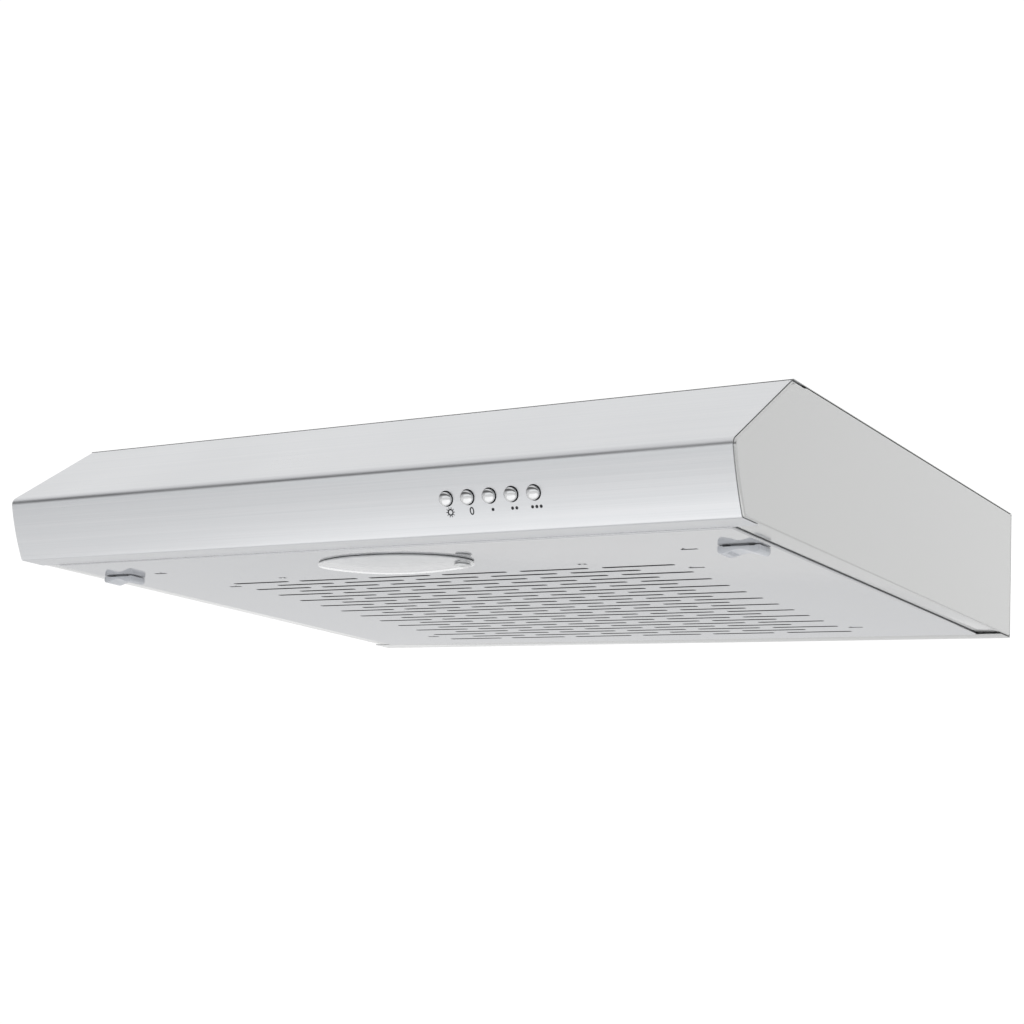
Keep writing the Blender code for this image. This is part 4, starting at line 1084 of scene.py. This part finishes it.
def make_lamp_cover():
    """An oval dish with a hollow back, a boss for its screw and a tab at its front edge."""
    radius, rim, sag = COVER_RADIUS, -0.0993, 0.0050
    dome = [(radius * s, rim - sag * (1 - s * s)) for s in [0.985 * i / 28 for i in range(29)]]
    edge = [(radius - 0.0002, rim - 0.00005), (radius, rim + 0.00030), (radius - 0.0002, rim + 0.00090),
            (radius - 0.0006, rim + 0.0012), (0.0510, rim + 0.0012), (0.0505, rim + 0.0013),
            (0.0503, rim + 0.0016), (0.0502, -0.0967), (0.0500, -0.0965), (0.0492, -0.0965),
            (0.0490, -0.0967), (0.0489, rim + 0.0004), (0.0480, rim - 0.0004), (0.0460, rim - 0.0008)]
    inner = [(0.0460 * s, rim - 0.0008 - 0.0026 * (1 - s * s)) for s in [1 - i / 12 for i in range(1, 13)]]
    dish = revolve([*dome, *edge, *inner], 128, COVER_RATIO)
    boss = revolve([(0.0024, -0.0990), (0.0050, -0.0990), (0.0050, -0.1004), (0.0049, -0.1007),
                    (0.0046, -0.1008), (0.0024, -0.1008)], 48, closed=True)
    tab = box((-0.0032, LAMP.y - 0.0301, -0.0991), (0.0032, LAMP.y - 0.0283, -0.0980), 0.0002, 3)
    cover = merged((dish, moved(*LAMP, 0)), (boss, moved(KNOB_X, LAMP.y, 0)), tab)
    piece("lamp_dish", cover, LAMP_PLASTIC, "lamp_cover", body="cover", degrees=35)


def make_lamp_screw():
    head = [(0, -0.1019), (0.0017, -0.1019), (0.0021, -0.1020), (0.0024, -0.1023), (0.0028, -0.1025),
            (0.0032, -0.1026), (0.0048, -0.1026), (0.0053, -0.1025), (0.0056, -0.1023), (0.0058, -0.1020),
            (0.0058, -0.1016), (0.0056, -0.1013), (0.0053, -0.1011), (0.0048, -0.1011)]
    shank = [(0.0018, -0.1011), (0.0018, -0.0963), (0.0016, -0.0961), (0, -0.0961)]
    piece("lamp_screw", revolve([*head, *shank], 72), CHROME, "lamp_knob", body="knob",
          matrix=moved(KNOB_X, LAMP.y, 0), degrees=40)


def make_lamp_holder():
    """The lamp's bracket, its socket and its bulb."""
    y, x = LAMP.y, -0.080
    path = rounded([(x, -0.090), (x, UNDER_TOP - SHEET), (x - 0.016, UNDER_TOP - SHEET)], [0, 0.002, 0], 8)
    arm = bent_sheet(path, 0.016, "left", 0.0010, 0.0002)
    arm.transform(along_y(0, y + 0.003, 0))
    arm = worked(arm, cutters=[rod(0.0045, (x - 0.01, y, BULB_Z), (x + 0.01, y, BULB_Z), 32, 0.0)])
    piece("lamp_arm", arm, ZINC, "lamp_bracket")
    start = x + GAP
    holder = rounded([(0.0075, start + 0.010), (0.0075, start + 0.034), (0.0135, start + 0.034),
                      (0.0135, start + 0.010), (0.0110, start + 0.008), (0.0110, start), (0.0030, start)],
                     [0, 0.0004, 0.0012, 0.0010, 0.0010, 0.0010, 0], 4)
    profile = [(0, start + 0.010), *holder, (0, start)]
    place = along_x(0, y, BULB_Z)
    piece("bulb_socket", revolve(profile, 64), WHITE, "lamp_holder", matrix=place, degrees=35)
    make_bulb(start, place)


def make_bulb(start, place):
    """A candle bulb: a cap with a screw thread and a glass with a waist."""
    top, radius = start + 0.0420, 0.0070
    cap = [(0, start + 0.0110), (0.0040, start + 0.0110), (0.0052, start + 0.0124)]
    for i in range(61):
        cap.append((0.00665 + 0.00035 * math.cos(math.tau * i / 10), start + 0.0130 + 0.0230 * i / 60))
    cap += [(radius, top - 0.0048), (radius, top - 0.0004), (radius - 0.0003, top), (0, top)]
    piece("bulb_cap", revolve(cap, 48), BRIGHT, "bulb_base", matrix=place, degrees=35)
    neck, radius = start + 0.0423, 0.0165
    glass = [(0, neck + 0.072)]
    for turn in [math.radians(150 * i / 32) for i in range(1, 33)]:
        glass.append((radius * math.sin(turn), neck + 0.0555 + radius * math.cos(turn)))
    waist = rounded([glass[-1], (0.0062, neck + 0.030), (0.0062, neck)], [0, 0.020, 0], 12)
    glass += waist[1:] + [(0.0058, neck), (0, neck)]
    piece("bulb_envelope", revolve(glass, 64), GLASS, "bulb_glass", matrix=place, degrees=50)


# Duct, damper and blower

def make_outlet():
    """The duct's spigot with its ring and screws, and the pin of its two flaps."""
    low, high, inner, outer = -LAP - 0.0020, 0.032, 0.0575, 0.0597
    profile = [(inner, low), (0.0622, low), (0.0622, low + 0.0008), (outer, low + 0.0008),
               (outer, 0.0040), (outer, 0.0246), (0.0594, 0.0252), (0.0594, 0.0262), (outer, 0.0268),
               (outer, high - 0.0010), (0.0594, high - 0.0003), (0.0588, high), (0.0582, high - 0.0003),
               (0.0578, high - 0.0010), (inner, high - 0.0020)]
    piece("duct_spigot", revolve(profile, 128, closed=True), BLACK, "outlet_collar",
          matrix=moved(0, OUTLET_Y, 0), degrees=35)
    rims = [oval(0, 0, radius, count=96) for radius in (0.0710, 0.0602)]
    ring = plate([*rims, *screw_holes(OUTLET_Y)], 0.0009)
    piece("spigot_ring", ring, ZINC, "collar_ring", matrix=moved(0, OUTLET_Y, -LAP - 0.00045))
    screw = [(0, -0.0002), (0.0013, -0.0002), (0.0014, -0.0003), (0.0014, -0.0041), (0.0029, -0.0041),
             (0.0030, -0.0044), (0.0028, -0.0052), (0.0022, -0.0058), (0.0012, -0.0060), (0.0010, -0.0050),
             (0, -0.0050)]
    for i, (x, y) in enumerate(screw_places()):
        piece(f"spigot_screw_{i + 1}", revolve(screw, 32), BRIGHT, f"collar_screw_{i + 1}",
              slot="dark_steel", matrix=moved(x, y, 0))
    pin = rod(0.0012, (-0.0571, OUTLET_Y, FLAP_Z), (0.0571, OUTLET_Y, FLAP_Z), 24)
    piece("flap_pin", pin, BRIGHT, "damper_pin", slot="dark_steel")


def make_flap(name, way, sleeves):
    """Half a disc with three ribs, a rim below it and sleeves round its pin."""
    radius = 0.056
    first = math.asin(0.0032 / radius)
    arc = [polar(radius, first + (math.pi - 2 * first) * i / 56, way * radius) for i in range(57)]
    parts = [plate([anticlockwise(arc)], 0.0010, 0.0002)]
    for x in (-0.030, 0.0, 0.030):
        end = way * math.sqrt(0.052 ** 2 - x * x)
        parts.append(box((x - 0.0006, way * 0.0062, -0.0016), (x + 0.0006, end, -0.0004), 0.0003))
    rim = [(*polar(0.0545, math.radians(a), way * 0.0545), -0.0006) for a in range(8, 173, 4)]
    parts.append(tube(rim, 0.0007, 10))
    for low, high in sleeves:
        sleeve = revolve([(0.0015, low), (0.0025, low), (0.0027, low + 0.0002), (0.0027, high - 0.0002),
                          (0.0025, high), (0.0015, high)], 32, closed=True)
        parts.append((sleeve, along_x(0, 0, 0)))
        parts.append(box((low, way * 0.0020, -0.0007), (high, way * 0.0050, 0.0007), 0.0002))
    piece("flap_" + name, merged(*parts), BLACK, "damper_flap_" + name, body="damper_" + name,
          matrix=moved(0, OUTLET_Y, FLAP_Z), degrees=35)


def scroll_path():
    """The blower's inner surface: down the cut-off wall, round the spiral and up again."""
    axis = Vector(FAN_AXIS)
    start = math.radians(75)
    spiral = []
    for i in range(73):
        share = i / 72
        spiral.append(axis + polar(0.031 + 0.011 * share, start + (math.tau - start) * share))
    points = [Vector((spiral[0].x, -0.0041)), *spiral, Vector((spiral[-1].x, -0.0041))]
    return rounded(points, [0, 0.0012] + [0] * (len(points) - 2), 6)


def make_blower():
    """The plate under the outlet, the scroll and its two cheeks."""
    half = 0.074
    low, high = OUTLET_Y - half, OUTLET_Y + half
    outline = rounded([(0, low), (half, low), (half, high), (-half, high), (-half, low), (0, low)],
                      [0, 0.004, 0.004, 0.004, 0.004, 0], 6)
    loops = [without_repeats(outline), rectangle(0, OUTLET_Y, 0.0515, 0.0180), *screw_holes()]
    piece("outlet_sheet", plate(loops, SHEET), ZINC, "blower_outlet_plate", matrix=moved(0, 0, -0.0035))
    scroll = bent_sheet(scroll_path(), 0.050, "right", 0.0008, segments=1)
    piece("scroll_sheet", scroll, ZINC, "blower_scroll", degrees=25)
    y, z = FAN_AXIS
    outline = anticlockwise([Vector((-point.y, point.x)) for point in shifted(scroll_path(), -0.0016)])
    for name, side in SIDES:
        cheek = plate([outline, oval(-z, y, 0.022, count=72)], 0.0008)
        lip = revolve([(0.0220, -0.0004), (0.0220, 0.0002), (0.0224, 0.0008), (0.0232, 0.0011),
                       (0.0242, 0.0009), (0.0248, 0.0004), (0.0248, -0.0002)], 72, closed=True)
        turn = moved(-z, y, 0) @ Matrix.Diagonal((1, 1, side, 1))
        shape = bmesh.new()
        shape.from_mesh(merged(cheek, (lip, turn)))
        bmesh.ops.recalc_face_normals(shape, faces=shape.faces)
        piece("blower_cheek_" + name, mesh_of(shape), ZINC, "blower_side_" + name,
              matrix=moved(side * 0.0507, 0, 0) @ turned(90, "Y"))


def fan_vane(half):
    """A blade that curves from the inner edge of the wheel's rings to their outer edge."""
    blade = bmesh.new()
    rows = []
    for share in [i / 8 for i in range(9)]:
        point = polar(0.0217 + 0.0060 * share, math.radians(13.0) * share ** 1.6)
        rows.append([blade.verts.new((*point, z)) for z in (-half, half)])
    for a, b in zip(rows, rows[1:]):
        blade.faces.new((a[0], a[1], b[1], b[0]))
    return worked(mesh_of(blade), ("SOLIDIFY", {"thickness": 0.0007, "offset": 0}))


def make_fan():
    half = 0.046
    hub_low = [(0.0033, -0.008), (0.0066, -0.008), (0.0070, -0.0076), (0.0070, -0.0012), (0.0076, -0.0006),
               (0.0272, -0.0006)]
    hub_high = [(radius, -z) for radius, z in reversed(hub_low)]
    parts = [revolve([*hub_low, *hub_high], 64, closed=True)]
    for z in (-half, half):
        ring = [(0.0215, z - 0.0007), (0.0278, z - 0.0007), (0.0280, z - 0.0005), (0.0280, z + 0.0005),
                (0.0278, z + 0.0007), (0.0215, z + 0.0007)]
        parts.append(revolve(ring, 64, closed=True))
    vane = fan_vane(half)
    parts += [(vane, turned(18 * i, "Z")) for i in range(20)]
    piece("fan_wheel", merged(*parts), BLACK, "impeller", body="fan", matrix=along_x(0, *FAN_AXIS),
          degrees=35)
    shaft = rod(0.0030, (-0.012, *FAN_AXIS), (0.1215, *FAN_AXIS), 32, 0.0005)
    piece("shaft", shaft, BRIGHT, "motor_shaft", body="fan")


def motor_bell(end, way):
    """An end shield: a boss on a dished plate, whose way is along the shaft into the motor."""
    profile = [(0.0034, -0.004 if way > 0 else -0.006), (0.0086, -0.004 if way > 0 else -0.006),
               (0.0090, -0.0036 if way > 0 else -0.0056), (0.0090, -0.0004), (0.0096, 0), (0.0290, 0),
               (0.0318, 0.0010), (0.0332, 0.0040), (0.0334, 0.0110), (0.0034, 0.0110)]
    return revolve([(radius, end + way * z) for radius, z in profile], 72, closed=True)


def make_motor():
    """The motor's shields, its stack of plates, its winding, four bolts and twelve vents."""
    front, back = MOTOR_ENDS
    stack = [(0.0330, front + 0.0115), (0.0357, front + 0.0115), (0.0360, front + 0.0118),
             (0.0360, back - 0.0118), (0.0357, back - 0.0115), (0.0330, back - 0.0115)]
    winding = rounded([(0.0200, front + 0.0105), (0.0322, front + 0.0105), (0.0322, back - 0.0105),
                       (0.0200, back - 0.0105)], [0, 0.003, 0.003, 0], 4)
    parts = [motor_bell(front, 1), motor_bell(back, -1), (revolve(stack, 72, closed=True), None, 1),
             (revolve(winding, 48, closed=True), None, 2)]
    for i in range(4):
        bolt = polar(0.0300, math.radians(45 + 90 * i))
        parts.append(rod(0.0021, (*bolt, front - 0.0012), (*bolt, back + 0.0002), 6, 0.0003))
    for i in range(12):
        vent = box((0.0140, -0.0016, front - 0.0003), (0.0240, 0.0016, front + 0.0002), 0.0001)
        parts.append((vent, turned(30 * i, "Z"), 3))
    piece("fan_motor", merged(*parts), DARK, "motor_body", matrix=along_x(0, *FAN_AXIS), degrees=35,
          extra=(PLATES, COPPER, BLACK))


def make_motor_arm():
    """The bracket behind the motor, and its two nuts."""
    y, z = FAN_AXIS
    face = MOTOR_ENDS[1] + GAP
    path = rounded([(face, -0.080), (face, UNDER_TOP), (face + 0.030, UNDER_TOP)], [0, 0.002, 0], 8)
    arm = bent_sheet(path, 0.035, "right", 0.0012, 0.0003)
    arm.transform(along_y(0, y, 0))
    studs = [(y - 0.022, z), (y + 0.022, z)]
    holes = [rod(0.0023, (0.10, *stud), (0.13, *stud), 24, 0.0) for stud in studs]
    holes.append(rod(0.0096, (0.10, y, z), (0.13, y, z), 48, 0.0))
    piece("motor_arm", worked(arm, cutters=holes), ZINC, "motor_bracket")
    nut = [(0, face + 0.0052), (0.0030, face + 0.0052), (0.0038, face + 0.0046), (0.0038, face + 0.0020),
           (0.0034, face + 0.0015), (0.0018, face + 0.0015), (0.0018, face), (0, face)]
    for i, stud in enumerate(studs):
        piece(f"stud_nut_{i + 1}", revolve(nut, 6), BRIGHT, f"motor_nut_{i + 1}",
              matrix=along_x(0, *stud), degrees=20)


def make_capacitor():
    """A white can with two tags and a ring, lying along Y in a saddle."""
    x, y, z = CAPACITOR
    can = rounded([(0, 0.028), (0.0150, 0.028), (0.0150, -0.028), (0, -0.028)], [0, 0.0014, 0.0014, 0], 6)
    parts = [revolve(can, 64)]
    for tag in (-0.005, 0.005):
        parts.append(box((tag - 0.0004, -0.0030, 0.0270), (tag + 0.0004, 0.0030, 0.0280), 0.0001))
    parts.append(revolve([(0.0149, 0.0235), (0.01505, 0.0238), (0.01505, 0.0246), (0.0149, 0.0249)], 64,
                         closed=True))
    piece("run_capacitor", merged(*parts), WHITE, "capacitor", matrix=moved(x, y, z) @ turned(90, "X"),
          degrees=35)
    middle = Vector((x, z))
    bend = [middle + polar(0.0150 + 2 * GAP, math.pi + math.pi * i / 32) for i in range(33)]
    path = [Vector((x - 0.026, UNDER_TOP)), Vector((bend[0].x, UNDER_TOP)), *bend,
            Vector((bend[-1].x, UNDER_TOP)), Vector((x + 0.026, UNDER_TOP))]
    clip = bent_sheet(path, 0.007, "right", 0.0010, 0.0002)
    clip.transform(along_y(0, y, 0))
    piece("capacitor_saddle", clip, ZINC, "capacitor_clip")


def make_terminals():
    low, high = Vector((-0.262, 0.092, -0.042)), Vector((-0.182, 0.152, -0.0021))
    case = open_box(low, high, lambda normal: normal.z < -0.9)
    shell = worked(case, soft_edges(0.0025, 4, 50), solid(0.002))
    piece("junction_box", shell, BLACK, "terminal_box", degrees=35)
    lid_parts = [box((low.x, low.y, -0.0443), (high.x, high.y, -0.0423), 0.0007, 3)]
    for x in (low.x + 0.012, low.x + 0.040, high.x - 0.012):
        lid_parts.append(box((x - 0.0008, low.y + 0.010, -0.04445), (x + 0.0008, high.y - 0.010, -0.0440),
                             0.0003))
    piece("junction_lid", merged(*lid_parts), BLACK, "terminal_box_lid", degrees=35)


def make_cable_bush():
    ring = [(0.0100, 0.0010), (0.0096, 0.0014), (0.0090, 0.0015), (0.0055, 0.0015), (0.0048, 0.0013),
            (0.0045, 0.0008), (0.0045, -0.0021), (0.0048, -0.0026), (0.0055, -0.0028), (0.0090, -0.0028),
            (0.0096, -0.0027), (0.0100, -0.0023), (0.0100, -0.0009), (0.0074, -0.0009), (0.0074, 0.0003),
            (0.0100, 0.0003)]
    piece("cable_bush", revolve(ring, 64, closed=True), RUBBER, "cable_grommet",
          matrix=moved(*GROMMET, 0), degrees=35)


def make_switch():
    """The block that the buttons' stems end in, and the channel that holds it."""
    block = box((-0.041, 0.009, -0.010), (0.041, 0.027, 0.010), 0.0008, 3)
    bores = [rod(0.0024, (x, 0.005, 0), (x, 0.0205, 0), 32, 0.0) for x in button_offsets()]
    parts = [worked(block, cutters=bores)]
    for x in button_offsets():
        parts.append(box((x - 0.0046, 0.0262, -0.0082), (x + 0.0046, 0.0272, 0.0082), 0.0004))
    piece("switch_body", merged(*parts), BLACK, "switch_block", matrix=FACE, degrees=35)
    half, low, high = 0.046, 0.0022, 0.0273
    path = rounded([(-half, low), (-half, high), (half, high), (half, low)], [0, 0.002, 0.002, 0], 8)
    channel = bent_sheet(path, 0.008, "left", 0.0010, 0.0002)
    turn = Matrix(((0, 1, 0, 0), (0, 0, 1, 0), (1, 0, 0, 0), (0, 0, 0, 1)))
    piece("switch_channel", channel, ZINC, "switch_bracket", matrix=FACE @ turn)


def make_leads():
    y = LAMP.y
    lamp = [(-0.230, 0.0916, -0.020), (-0.230, 0.080, -0.020), (-0.232, -0.040, -0.010),
            (-0.228, -0.135, -0.016), (-0.185, -0.175, -0.045), (-0.130, y, -0.070), (-0.100, y, BULB_Z),
            (-0.0803, y, BULB_Z)]
    motor = [(-0.1816, 0.130, -0.020), (-0.174, 0.130, -0.020), (-0.150, 0.145, -0.015),
             (-0.100, 0.180, -0.012), (0.040, 0.180, -0.014), (0.082, 0.160, -0.030),
             (0.090, 0.130, -0.045), (0.090, 0.1066, -0.045)]
    switch = [(-0.205, 0.0916, -0.030), (-0.205, 0.080, -0.030), (-0.195, -0.060, -0.010),
              (-0.120, -0.125, -0.008), (0.060, -0.150, -0.010), (0.110, -0.185, -0.024),
              FACE @ Vector((0, 0.040, 0.022)), FACE @ Vector((0, 0.018, 0.016)),
              FACE @ Vector((0, 0.018, 0.0103))]
    for name, corners in (("lamp", lamp), ("motor", motor), ("switch", switch)):
        wire = tube(smooth_route(corners), 0.0020, 14)
        piece(name + "_wiring", wire, SLEEVE, name + "_lead", degrees=60)


# Stage, light and camera

def make_floor():
    """A pale round floor, well below the object."""
    made, tree, shader = material("studio_floor")
    grain = field(tree, 14.0, 4.0)
    colour_from(tree, shader, grain.outputs["Fac"], (0.86, 0.86, 0.86), (0.89, 0.89, 0.89))
    rough_from(tree, shader, grain.outputs["Fac"], 0.80, 0.90)
    radius, top, foot = 3.8, -0.80, -0.81
    disc = revolve([(0, top), (radius, top), (radius, foot), (0, foot)], 96)
    disc.materials.append(made)
    floor = bpy.data.objects.new("floor", disc)
    bpy.context.scene.collection.objects.link(floor)


def make_world():
    """A white studio behind the object, and in front of it a room that is dark above the floor."""
    world = bpy.data.worlds.new("studio")
    bpy.context.scene.world = world
    world.use_nodes = True
    tree = world.node_tree
    coords = add(tree, "ShaderNodeTexCoord")
    split = add(tree, "ShaderNodeSeparateXYZ")
    tree.links.new(coords.outputs["Generated"], split.inputs["Vector"])
    height = add(tree, "ShaderNodeValToRGB")
    ramp = height.color_ramp
    ramp.elements[0].color = (1.15, 1.15, 1.15, 1)
    ramp.elements[1].color = (1.0, 1.0, 1.0, 1)
    levels = ((-0.60, 1.10), (-0.42, 1.00), (-0.30, 0.80), (-0.18, 0.80), (-0.05, 0.74), (0.09, 0.58),
              (0.17, 0.20), (0.40, 0.14), (0.60, 0.90))
    for z, level in levels:
        stop = ramp.elements.new((z + 1) / 2)
        stop.color = (level, level, level * 1.01, 1)
    tree.links.new(spread(tree, split.outputs["Z"], 0.0, 1.0, -1.0, 1.0), height.inputs["Fac"])
    behind = blend(tree, spread(tree, split.outputs["Z"], 0.0, 1.0, -0.12, -0.098), (0.76, 0.765, 0.775),
                   (1.05, 1.05, 1.05))
    glow = add(tree, "ShaderNodeMath", operation="MULTIPLY")
    tree.links.new(spread(tree, split.outputs["X"], 0.0, 1.0, -0.76, -0.60), glow.inputs[0])
    tree.links.new(spread(tree, split.outputs["Z"], 1.0, 0.0, 0.00, 0.12), glow.inputs[1])
    right = blend(tree, glow.outputs["Value"], height.outputs["Color"], (1.12, 1.14, 1.15))
    share = spread(tree, split.outputs["Y"], 1.0, 0.0, -0.25, 0.06)
    colour = blend(tree, share, behind, right)
    background = tree.nodes["Background"]
    tree.links.new(colour, background.inputs["Color"])
    background.inputs["Strength"].default_value = 1.0


def area_light(name, place, aim, size, power):
    light = bpy.data.lights.new(name, "AREA")
    light.shape = "RECTANGLE"
    light.size, light.size_y = size
    light.energy = power
    obj = bpy.data.objects.new(name, light)
    bpy.context.scene.collection.objects.link(obj)
    obj.location = place
    heading = Vector(aim) - Vector(place)
    obj.rotation_euler = heading.to_track_quat("-Z", "Y").to_euler()
    obj.visible_camera = False
    return obj


def make_lights():
    """A soft light above and two low ones that the steel and the underside catch."""
    top = area_light("top_softbox", (0.0, -0.2, 1.9), (0, 0, 0), (2.4, 2.4), 14)
    top.visible_glossy = False
    area_light("floor_bounce", (-0.05, -0.80, -0.75), (-0.05, -0.80, 0), (1.8, 0.9), 1.9)
    area_light("floor_wash", (-1.1, -1.35, -0.76), (-1.1, -1.35, 0), (4.4, 1.7), 2.8)


def make_camera():
    """The photo's camera, as it was solved from the hood's corners."""
    place = (0.74939, -1.13994, -0.30393)
    forward = Vector((-0.55475, 0.80758, 0.20018)).normalized()
    up = Vector((0.05488, -0.20455, 0.97732))
    right = forward.cross(up).normalized()
    up = right.cross(forward)
    data = bpy.data.cameras.new("camera")
    data.lens = 62.984
    data.sensor_width = 36.0
    camera = bpy.data.objects.new("camera", data)
    bpy.context.scene.collection.objects.link(camera)
    turn = Matrix((right, up, -forward)).transposed().to_4x4()
    camera.matrix_world = moved(*place) @ turn
    bpy.context.scene.camera = camera


make_front()
make_sides()
make_top()
make_back()
make_buttons()
make_signs()
make_panel()
make_mat()
make_wires()
make_latches()
make_pivots()
make_lamp_cover()
make_lamp_screw()
make_lamp_holder()
make_outlet()
make_flap("front", -1, ((-0.040, -0.025), (0.025, 0.040)))
make_flap("rear", 1, ((-0.015, 0.015),))
make_blower()
make_fan()
make_motor()
make_motor_arm()
make_capacitor()
make_terminals()
make_cable_bush()
make_switch()
make_leads()
make_floor()
make_world()
make_lights()
make_camera()
bpy.context.scene.view_settings.view_transform = "Standard"
